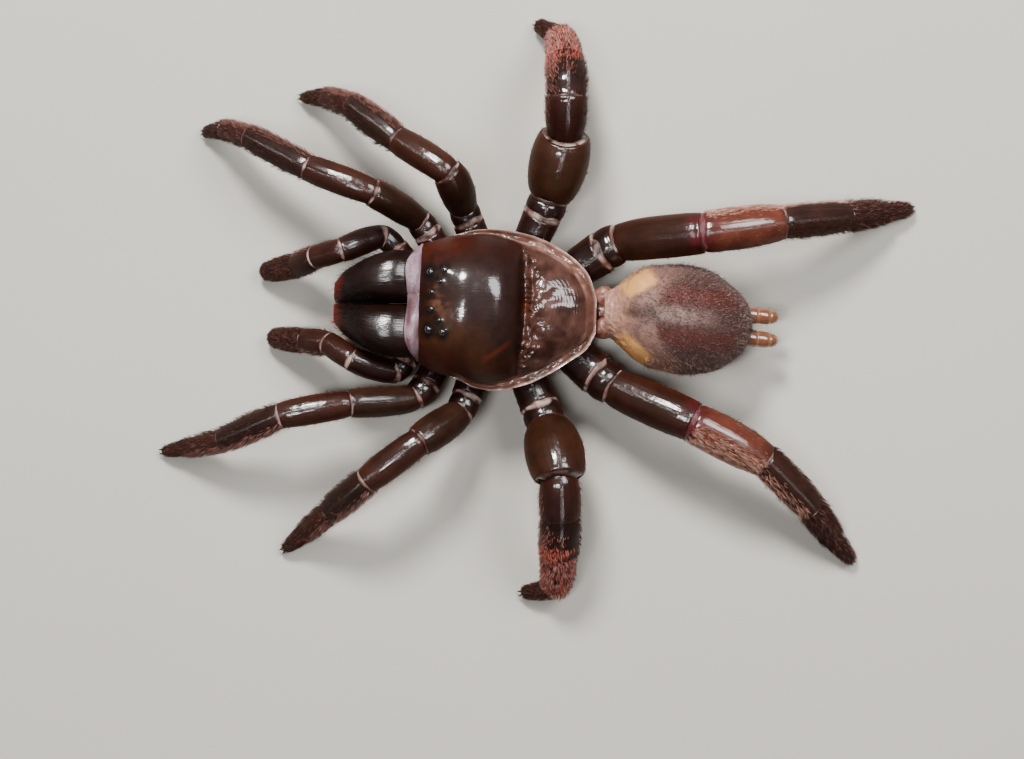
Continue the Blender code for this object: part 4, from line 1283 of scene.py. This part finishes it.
# The inner sides swell so that the two chelicerae meet
INNER_SWELL = 1.14
FANG_PATH = (
    (1.1, -11.6, 3.2), (1.14, -12.05, 2.5), (1.14, -11.95, 1.75), (1.12, -11.3, 1.2),
    (1.1, -10.5, 0.85),
)
FANG_RADII = (0.5, 0.46, 0.38, 0.26, 0.05)
MASS_BLACK = hex_colour("#0c0605")
CHELICERA_TONE = blend_colour(hex_colour("#170805"), MASS_BLACK, 0.15)
CHELICERA_RED = hex_colour("#6a150b")


def chelicera_rings(sign, y, columns):
    turns = round_turns(columns)
    across, rise = np.cos(turns), np.sin(turns)
    power = CHELICERA_SQUARENESS
    square = (np.abs(across) ** power + np.abs(rise) ** power) ** (-1 / power)
    swelling = np.where(across < 0, INNER_SWELL, 1.0)
    rings = []
    for at in y:
        middle, half_width, height, half_height = smooth_between(CHELICERA_STATIONS, at)
        x = sign * (middle + half_width * across * square * swelling)
        rings.append(plan_points(x, np.full(columns, at), height + half_height * rise * square))
    return np.array(rings), turns


def make_chelicera(side, number):
    sign = SIGNS[side]
    even = np.sin(np.linspace(0, math.pi / 2, 60))
    y = CHELICERA_BACK_Y + (CHELICERA_FRONT_Y - CHELICERA_BACK_Y) * even
    grid, turns = chelicera_rings(sign, y, 56)
    grid = grid + grid_normals(grid) * (0.03 * wander(grid, 1.1, 26))[..., None]
    normals = grid_normals(grid)
    across, rise = np.cos(turns), np.sin(turns)
    y = y[:, None]
    # Redder towards the front, and amber low on the sides as a painted glow of light shining through
    tone = blend_colour(CHELICERA_TONE, CHELICERA_RED, 0.75 * ease(-11.7, -12.5, y))
    tone = blend_colour(tone, AMBER_TONE_AND_GLOW, 0.35 * ease(-0.1, -0.8, rise))
    tone[..., 3] = flat_gloss(normals, steep=0.66)
    shell = Shell()
    shell.add(grid, tone)
    add_digging_comb(shell, sign)
    shell.build(f"chelicera_{side}_plate", LINED_CUTICLE, "cuticle", [f"chelicera_{side}"])
    coat = Coat(f"chelicera_{side}_bristles", BRISTLE, "bristly_cuticle", 50 + number)
    # Long bristles on the inner upper side, a few on the outer side, and a fringe below
    inner = ease(0.35, -0.45, across) * ease(0.0, 0.35, rise)
    inner = inner * ease(-9.6, -10.8, y) * ease(-12.35, -12.0, y)
    outer = ease(-8.5, -9.5, y) * ease(0.5, 0.9, across)
    fringe = ease(-10.5, -11.5, y) * ease(-0.3, -0.7, rise)
    coat.plant(
        grid, normals, 42 * inner, 0.62, 9, BLACK_HAIR, 0.016, uv_box=(0, 0, 0.5, 1), sway=0.22
    )
    coat.plant(grid, normals, 3 * outer, 0.5, 25, BLACK_HAIR, 0.016, uv_box=(0.5, 0, 1, 1))
    coat.plant(grid, normals, 20 * fringe, 0.6, 45, CORAL_HAIR, 0.016, uv_box=(0.5, 0, 1, 1))
    coat.build()


def add_digging_comb(shell, sign):
    """Three rows of stout digging spines on the lobe above the fang."""
    down = np.array([0.0, 0.0, -1.0])
    for row, k in np.ndindex(3, 7):
        spread = k / 6
        root = np.array([
            sign * (0.4 + 1.35 * spread),
            -11.87 + 0.85 * spread**2 + 0.22 * row,
            4.25 - 0.2 * spread + 0.3 * row,
        ])
        rise = unit([sign * 0.15, -1.0, 0.25 + 0.15 * row])
        add_spike(
            shell, root, rise, down, 0.62 - 0.1 * row, 0.14 - 0.02 * row, MASS_BLACK,
            columns=8, rows=7,
        )


def make_fang(side):
    path = [(SIGNS[side] * x, y, z) for x, y, z in FANG_PATH]
    grid = sweep(path, FANG_RADII, 24, upward=(1.0, 0.0, 0.0))
    tip = ease(0.5, 1.0, np.linspace(0, 1, len(grid)))[:, None]
    fang = Shell()
    fang.add(grid, blend_colour(MASS_BLACK, CHELICERA_RED, 0.5 * tip))
    fang.build(f"fang_{side}_horn", FANG_HORN, "fang", [f"fang_{side}"])


# y of the flap's free edge in front of the carapace, from the right side to the left
FLAP_EDGE = (
    (-3.72, -7.2), (-3.3, -7.6), (-2.6, -8.02), (-1.95, -8.1), (-1.1, -8.0), (-0.15, -7.94),
    (0.8, -8.0), (1.6, -8.04), (2.3, -7.95), (3.0, -7.6), (3.52, -7.2),
)


def chelicera_top(x, y):
    """Height of the nearer chelicera's back at places in the plan."""
    stations = [smooth_between(CHELICERA_STATIONS, min(at, CHELICERA_BACK_Y)) for at in y]
    middle, half_width, height, half_height = np.array(stations).T
    across = np.minimum(np.abs(np.abs(x) - middle) / half_width, 1.0)
    return height + half_height * (1 - across**2.3) ** (1 / 2.3)


FLAP_BACK_Y = -7.12


def make_flap():
    """Pale soft skin that bulges from under the head's front edge over the chelicerae."""
    columns, rows = 90, 18
    across = np.linspace(-3.7, 3.5, columns)
    front = np.array([smooth_between(FLAP_EDGE, at)[0] for at in across])
    v = np.linspace(0, 1, rows)[:, None]
    x = np.broadcast_to(across, (rows, columns))
    y = FLAP_BACK_Y + (front - FLAP_BACK_Y) * v
    start = carapace_height(across, np.full(columns, CARAPACE_FRONT_Y)) - 0.02
    end = np.maximum(chelicera_top(across, front) + 0.1, start - 0.5)
    creases = 0.06 * wander(plan_points(0.3 * x, y, 0 * x), 0.22, 6)
    top = plan_points(x, y, start * (1 - v) + end * v + 0.12 * np.sin(np.pi * v) + creases)
    under = top - np.array([0, 0, 0.12])
    under[-1] = top[-1] - np.array([0, -0.04, 0.06])
    ring = np.concatenate([top, under[::-1]])
    inward = np.concatenate([v, v[::-1]])
    # Darker where it is thin and the dark parts below show through
    thin = 0.25 + 0.7 * wander(ring * np.array([0.35, 1.0, 0.0]), 0.3, 7)
    # Painted shade: darker towards the left side and at the root under the head's front edge; lighter
    # along the free edge
    thin = thin + 0.35 * ease(-2.2, 1.5, ring[..., 0])
    thin = thin + 0.3 * ease(0.5, 0.0, inward) - 0.3 * ease(0.85, 1.0, inward)
    tone = blend_colour(hex_colour("#8a717c"), hex_colour("#5e4448"), np.clip(thin, 0, 1))
    shell = Shell()
    shell.add(np.swapaxes(ring, 0, 1), np.swapaxes(tone, 0, 1))
    shell.build("head_front_flap", JOINT_SKIN, "cuticle")


# Underside: sternum with the lip, and the soft side wall up to the carapace


def make_sternum():
    turns = round_turns(96)
    share = np.linspace(0.02, 1, 40)[:, None]
    # Eight shallow bays for the bases of the legs
    reach = 0.96 * (1 - 0.035 * (0.5 + 0.5 * np.cos(turns * 8))) * share
    x = STERNUM_HALF_WIDTH * reach * np.sin(turns)
    y = STERNUM_CENTRE_Y - STERNUM_HALF_LENGTH * reach * np.cos(turns)
    grid = plan_points(x, y, 1.32 + 0.5 * share**4 + 0 * x)
    wall = grid[-1:].copy()
    wall[..., 2] = 2.3
    tone = blend_colour(hex_colour("#5a3018"), AMBER_TONE_AND_GLOW, 0.5 + 0.5 * wander(grid, 0.8, 8))
    tone = blend_colour(tone, DARK, 0.7 * ease(0.85, 1.0, share))
    # Three pairs of pale spots
    for spot_y, spot_x in ((-0.6, 1.45), (-2.6, 1.75), (-4.4, 1.4)):
        pale = plateau(np.hypot(np.abs(x) - spot_x, (y - spot_y) * 0.6), 0.22)
        tone = blend_colour(tone, hex_colour("#b08054"), 0.8 * pale)
    shell = Shell()
    shell.add(np.concatenate([grid, wall]), np.concatenate([tone, tone[-1:]]))
    lip = unit_ball(16, 32) * (0.55, 0.75, 0.32) + (0.0, -6.7, 1.62)
    shell.add(lip, hex_colour("#4a2414"))
    shell.build("sternum_plate", TANNED_CUTICLE, "cuticle", ["sternum"])
    coat = Coat("sternum_hair", BRISTLE, "bristly_cuticle", 70)
    normals = np.broadcast_to(np.array([0.0, 0.0, -1.0]), grid.shape)
    coat.plant(grid, normals, 5.0, 0.4, 40, BLACK_HAIR, 0.018, way=np.array([0.0, -1.0, 0.0]))
    coat.build()


def carapace_outline(count):
    """Points round the edge: up one side, down the other and along the front."""
    y = carapace_rows(60)
    right, left, _ = carapace_edges(y)
    path = np.concatenate([
        np.stack([-right, y], 1), np.stack([left[::-1], y[::-1]], 1),
        np.stack([np.linspace(left[0], -right[0], 40)[1:-1], np.full(38, CARAPACE_FRONT_Y)], 1),
    ])
    path = np.concatenate([path, path[:1]])
    steps = np.concatenate([[0], np.cumsum(np.linalg.norm(np.diff(path, axis=0), axis=1))])
    at = np.linspace(0, steps[-1], count, endpoint=False)
    return np.stack([np.interp(at, steps, path[:, k]) for k in range(2)], 1)


def make_side_wall():
    """Folded soft skin between the carapace's edge and the bases of the legs."""
    core = np.array([0.0, -2.2])
    spokes = carapace_outline(160) - core
    outer = core + spokes * 0.93
    angle = np.arctan2(spokes[:, 0], -spokes[:, 1])
    v = np.linspace(0, 1, 16)[:, None]
    x = outer[:, 0] * (1 - v) + 2.5 * np.sin(angle) * v
    y = outer[:, 1] * (1 - v) + (STERNUM_CENTRE_Y - STERNUM_HALF_LENGTH * np.cos(angle)) * v
    z = (CARAPACE_BASE + 0.05) * (1 - v) + 2.2 * v + 0.12 * np.cos(v * 14) * np.sin(np.pi * v)
    grid = plan_points(x, y, z + 0 * x)
    share = 0.5 + 0.5 * wander(grid, 0.6, 9)
    shell = Shell()
    shell.add(grid, blend_colour(hex_colour("#6a4a40"), hex_colour("#8c6a5c"), share))
    shell.build("body_side_skin", JOINT_SKIN, "cuticle")


# Pedicel, abdomen and spinnerets


# The middle line drifts this much to the left for each millimetre towards the back
ABDOMEN_DRIFT = math.tan(math.radians(3.2))
ABDOMEN_CENTRE_Z = 3.95
ABDOMEN_FLATNESS = 0.92
# y and half width
ABDOMEN_STATIONS = (
    (4.0, 1.2), (4.9, 1.85), (6.1, 2.8), (7.3, 3.1), (9.1, 3.25), (10.7, 2.9), (11.8, 2.2),
    (12.6, 1.35), (13.0, 0.5),
)
FRONT_SKIN = hex_colour("#947060")
FRONT_SHINE = hex_colour("#a87e6e")
GREY_PINK = hex_colour("#7a5a50")
VELVET_BROWN = hex_colour("#40241f")
VELVET_RED = hex_colour("#4c1a10")
VELVET_GREY = hex_colour("#80665e")
# Pale velvet hairs, whose colour also stands for glints of light on the velvet: partly a painted
# highlight
GLINT_HAIR = hex_colour("#a08c86")
GOLD_SKIN = hex_colour("#cc965e")
GOLD_RIM = hex_colour("#a06a30")
BELLY_SKIN = hex_colour("#5c443a")
LUNG_SKIN = hex_colour("#a8845a")
# Middle of each bare golden patch, in the abdomen's own plan, and its slant
GOLD_PATCHES = ((-1.95, 5.95, -0.55), (2.15, 5.75, 0.6))
# Keeps the hairs' patches off the edge of the unwrap
VELVET_UV_BOX = (0.002, 0.002, 0.998, 0.998)


def midline_x(y):
    return (y - ABDOMEN_STATIONS[0][0]) * ABDOMEN_DRIFT


def abdomen_marks(x, y, z):
    """Tone of the abdomen, how hairy it is, and where its back shield and its belly are."""
    across = x - midline_x(y)
    points = plan_points(x, y, z)
    rough = wander(points, 0.5, 10)
    # The velvet shield of the back starts along an arc, less sharply towards the sides
    arc = 7.0 + 0.168 * across**2 + 0.12 * rough
    blur = 0.1 * across**2
    shield = ease(arc - 0.15 - blur, arc + 0.25 + blur, y) * ease(3.0, 4.6, z)
    front = ease(5.9, 4.9, y + 0.3 * rough)
    tone = blend_colour(GREY_PINK, FRONT_SKIN, front)
    # Painted sheen: the very front is paler, as where its wet folds shine
    tone = blend_colour(tone, FRONT_SHINE, ease(5.0, 4.3, y) * 0.7)
    # A dark wedge reaches forward from the shield
    wedge = bell(across + 0.1, 0.25 + 0.4 * ease(5.2, 6.8, y)) * ease(4.9, 5.6, y)
    tone = blend_colour(tone, hex_colour("#3a2622"), 0.85 * wedge)
    # The shield: a red band on either side of a grey middle, and a greyer outer edge
    waver = 0.16 * wander(points, 0.8, 36)
    bands = plateau(np.abs(across + 0.1) - 1.25 + waver, 0.6) * ease(12.4, 11.4, y)
    middle = plateau(across + 0.12 + waver, 0.5) * ease(11.4, 8.6, y)
    outer = ease(1.9, 2.9, np.hypot(across, (y - 9.6) * 0.75))
    dorsal = blend_colour(VELVET_BROWN, VELVET_RED, 0.9 * bands)
    dorsal = blend_colour(dorsal, VELVET_GREY, (0.72 + 0.3 * wander(points, 0.3, 37)) * middle)
    dorsal = blend_colour(dorsal, VELVET_GREY, 0.16 * outer)
    tone = blend_colour(tone, dorsal, shield)
    belly = ease(3.4, 2.2, z)
    tone = blend_colour(tone, BELLY_SKIN, belly)
    lungs = plateau(np.abs(across) - 1.15, 0.75) * plateau(y - 5.9, 0.7) * ease(2.6, 1.8, z)
    tone = blend_colour(tone, LUNG_SKIN, 0.8 * lungs)
    # Bare golden patches, each with a browner rim
    upper = ease(2.4, 3.2, z)
    gold = np.zeros_like(across)
    for middle_x, middle_y, slant in GOLD_PATCHES:
        sine, cosine = math.sin(slant), math.cos(slant)
        along = (y - middle_y) * cosine + (across - middle_x) * sine
        aside = (across - middle_x) * cosine - (y - middle_y) * sine
        gap = (along / 1.1) ** 4 + ((aside + 0.12 * rough) / 0.56) ** 4
        gold = gold + np.exp(-gap**2) * upper
        tone = blend_colour(tone, GOLD_RIM, 0.6 * np.exp(-gap) * upper)
    gold = np.clip(gold, 0, 1)
    tone = blend_colour(tone, GOLD_SKIN, gold)
    tone[..., 3] = np.clip(front + 0.6 * gold, 0, 1)
    hairy = (1 - front) * (1 - gold) * (1 - 0.6 * lungs) * (1 - 0.5 * belly)
    return tone, hairy, shield, belly


def make_abdomen():
    rows, columns = 150, 144
    first, last = ABDOMEN_STATIONS[0][0], ABDOMEN_STATIONS[-1][0]
    y_line = first + (last - first) * (1 - np.cos(np.linspace(0, math.pi, rows))) / 2
    half = np.array([smooth_between(ABDOMEN_STATIONS, at) for at in y_line])
    turns = round_turns(columns)
    y = np.broadcast_to(y_line[:, None], (rows, columns))
    x = half * np.cos(turns) + midline_x(y)
    z = ABDOMEN_CENTRE_Z + half * ABDOMEN_FLATNESS * np.sin(turns)
    grid = plan_points(x, y, z)
    normals = grid_normals(grid)
    tone, hairy, shield, belly = abdomen_marks(x, y, z)
    front = ease(6.4, 4.6, y)
    folds = wander(grid * np.array([0.8, 1.6, 1.0]), 0.3, 11) + 0.9 * wander(grid, 0.14, 12)
    dimples = wander(grid, 1.1, 13)
    grid = grid + normals * (0.055 * front * folds + 0.05 * dimples * (1 - front))[..., None]
    shell = Shell()
    shell.add(grid, tone)
    shell.build("abdomen_skin", BODY_SKIN, "velvet_hair", ["abdomen"])
    coat = Coat("abdomen_velvet", VELVET, "velvet_hair", 80)
    outer = np.clip(ease(2.2, 2.9, np.abs(x - 0.3)) + ease(11.6, 12.3, y), 0, 1)
    pale = blend_colour(tone, VELVET_GREY, 0.7)
    upper = hairy * (1 - belly)
    tan_tuft = plateau(x - 3.2, 0.7) * plateau(y - 7.6, 0.9)
    # Density, length, lean, colour, thickness and sway
    coats = (
        (130 * hairy * shield, 0.19, 34, tone, 0.018, 0.5),
        (34 * upper * (0.4 + 0.6 * shield), 0.17, 40, GLINT_HAIR, 0.007, 0.6),
        (70 * upper * (1 - shield), 0.24, 30, tone, 0.017, 0.5),
        (22 * hairy * belly, 0.3, 32, tone, 0.018, 0.4),
        (14 * hairy * outer * ease(2.0, 3.2, z), 0.4, 42, pale, 0.014, 0.4),
        (16 * tan_tuft, 0.34, 40, hex_colour("#a8743c"), 0.01, 0.3),
    )
    back = np.array([0.0, 1.0, 0.0])
    for density, length, lean, colour, radius, sway in coats:
        coat.plant(
            grid, normals, density, length, lean, colour, radius,
            uv_box=VELVET_UV_BOX, sway=sway, way=back,
        )
    coat.build()


PEDICEL_PATH = ((0, 1.4, 3.2), (0, 2.6, 3.35), (0.02, 3.5, 3.6), (0.05, 4.2, 3.85))
PEDICEL_RADII = (0.7, 0.68, 0.66, 0.6)


def make_pedicel():
    """A glossy brown stalk between pale soft lobes."""
    shell = Shell()
    shell.add(sweep(PEDICEL_PATH, PEDICEL_RADII, 32), hex_colour("#4a2212"))
    shell.build("pedicel_stalk", TANNED_CUTICLE, "cuticle", ["pedicel"])
    lobes = Shell()
    for sign in (-1, 1):
        ball = unit_ball(20, 32)[..., [0, 2, 1]] * (0.68, 0.72, 0.66) + (sign * 0.92, 3.95, 3.85)
        ball = ball + 0.09 * wander(ball, 0.3, 14)[..., None] * unit(ball - ball.mean((0, 1)))
        share = 0.5 + 0.8 * wander(ball, 0.35, 15)
        lobes.add(ball, blend_colour(hex_colour("#8c6054"), hex_colour("#5c3428"), share))
    lobes.build("pedicel_lobes", JOINT_SKIN, "cuticle")


SPINNERET_LATERAL = dict(side=0.72, height=3.1, length=2.6, radius=0.54, droop=0.35)
SPINNERET_MEDIAN = dict(side=0.42, height=2.05, length=1.35, radius=0.26, droop=0.2)
SPINNERET_ROOT_Y = 12.2
# Share of the length, and radius there; the two steps are its joints
SPINNERET_PROFILE = (
    (0.0, 1.0), (0.3, 1.02), (0.46, 0.99), (0.5, 0.92), (0.54, 0.94), (0.68, 0.94), (0.76, 0.88),
    (0.79, 0.8), (0.83, 0.8), (0.92, 0.66), (0.98, 0.4), (1.0, 0.15),
)


def make_spinneret(name, sign, sizes, seed):
    share = np.linspace(0, 1, 48)[:, None]
    profile = np.array([smooth_between(SPINNERET_PROFILE, at) for at in share[:, 0]])
    radius = profile * sizes["radius"]
    y = SPINNERET_ROOT_Y + sizes["length"] * share
    turns = round_turns(28)
    grid = plan_points(
        sign * sizes["side"] + midline_x(y) + radius * np.cos(turns),
        y + 0 * turns,
        sizes["height"] - sizes["droop"] * share + radius * np.sin(turns),
    )
    joints = bell(share - 0.5, 0.03) + bell(share - 0.79, 0.03)
    tone = blend_colour(hex_colour("#704630"), hex_colour("#98705a"), 0.4 * joints)
    shell = Shell()
    shell.add(grid, tone)
    shell.build(f"{name}_tube", AMBER_SKIN, "spinneret_skin", [name])
    coat = Coat(f"{name}_hair", BRISTLE, "spinneret_skin", seed)
    coat.plant(grid, grid_normals(grid), 5.0, 0.28, 30, hex_colour("#7a4a2a"), 0.012)
    coat.build()


# Floor, light and camera


CAMERA_DISTANCE = 170.0
CAMERA_PLACE = (4.318, -1.461)
CAMERA_ROLL = math.atan2(10, 261)
VIEW_WIDTH = 64.0
SENSOR_WIDTH = 36.0
FLOOR_SIZE = 1.2


def make_floor():
    material = bpy.data.materials.new("pale_matt_floor")
    material.use_nodes = True
    tree = material.node_tree
    shader = tree.nodes["Principled BSDF"]
    coordinates = add_node(tree, "ShaderNodeTexCoord")
    patches = add_node(
        tree, "ShaderNodeTexNoise", {"Scale": grain(30.0), "Detail": 2.0},
        {"Vector": coordinates.outputs["Object"]},
    )
    colour = add_node(
        tree, "ShaderNodeValToRGB",
        {"ramp": ((0.3, hex_colour("#b6b2aa")), (0.7, hex_colour("#bab6ae")))},
        {"Fac": patches.outputs["Fac"]},
    )
    tree.links.new(colour.outputs["Color"], shader.inputs["Base Color"])
    shader.inputs["Roughness"].default_value = 0.85
    mesh = bpy.data.meshes.new("floor")
    half = FLOOR_SIZE / 2
    mesh.from_pydata(
        [(-half, -half, 0), (half, -half, 0), (half, half, 0), (-half, half, 0)], [], [(0, 1, 2, 3)]
    )
    floor = bpy.data.objects.new("floor", mesh)
    mesh.materials.append(material)
    bpy.context.scene.collection.objects.link(floor)


def add_light(name, place_mm, size_mm, power, colour, aim=(0.0, 0.0, 3.0)):
    """A soft box at a place in millimetres, turned to its aim."""
    lamp = bpy.data.lights.new(name, "AREA")
    lamp.shape = "ELLIPSE"
    lamp.size, lamp.size_y = (s * MM for s in size_mm)
    lamp.energy = power
    lamp.color = colour
    item = bpy.data.objects.new(name, lamp)
    start, end = Vector(place_mm) * MM, Vector(aim) * MM
    item.location = start
    item.rotation_euler = (end - start).to_track_quat("-Z", "Y").to_euler()
    bpy.context.scene.collection.objects.link(item)


def make_lights():
    add_light("key_softbox", (-120, -40, 150), (46, 46), 0.62, (1.0, 0.98, 0.95))
    add_light("second_softbox", (16, -34, 174), (18, 60), 0.17, (0.96, 0.98, 1.0))
    add_light("back_softbox", (-58, 80, 142), (100, 70), 0.24, (1.0, 0.99, 1.0))
    world = bpy.data.worlds.new("studio")
    world.use_nodes = True
    background = world.node_tree.nodes["Background"]
    background.inputs["Color"].default_value = hex_colour("#e8dad0")
    background.inputs["Strength"].default_value = 0.14
    bpy.context.scene.world = world


def make_camera():
    data = bpy.data.cameras.new("camera")
    data.sensor_width = SENSOR_WIDTH
    data.lens = SENSOR_WIDTH * CAMERA_DISTANCE / VIEW_WIDTH
    data.clip_start = 0.01
    data.clip_end = 10
    camera = bpy.data.objects.new("camera", data)
    spot = np.array([*CAMERA_PLACE, CAMERA_DISTANCE]) + SHIFT
    sine, cosine = math.sin(CAMERA_ROLL), math.cos(CAMERA_ROLL)
    turn = Matrix(((-sine, -cosine, 0), (cosine, -sine, 0), (0, 0, 1))).to_4x4()
    camera.matrix_world = Matrix.Translation(Vector(spot * MM)) @ turn
    bpy.context.scene.collection.objects.link(camera)
    bpy.context.scene.camera = camera


def build_looks():
    make_carapace()
    make_eyes()
    make_flap()
    for number, (side, sign) in enumerate(SIGNS.items()):
        make_chelicera(side, number)
        make_fang(side)
        make_limb("palp", side, 10 + number)
        for leg in range(1, 5):
            make_limb(f"leg_{leg}", side, 20 + 2 * leg + number)
        make_spinneret(f"spinneret_lateral_{side}", sign, SPINNERET_LATERAL, 90 + number)
        make_spinneret(f"spinneret_median_{side}", sign, SPINNERET_MEDIAN, 95 + number)
    make_sternum()
    make_side_wall()
    make_pedicel()
    make_abdomen()
    make_floor()
    make_lights()
    make_camera()


build_looks()
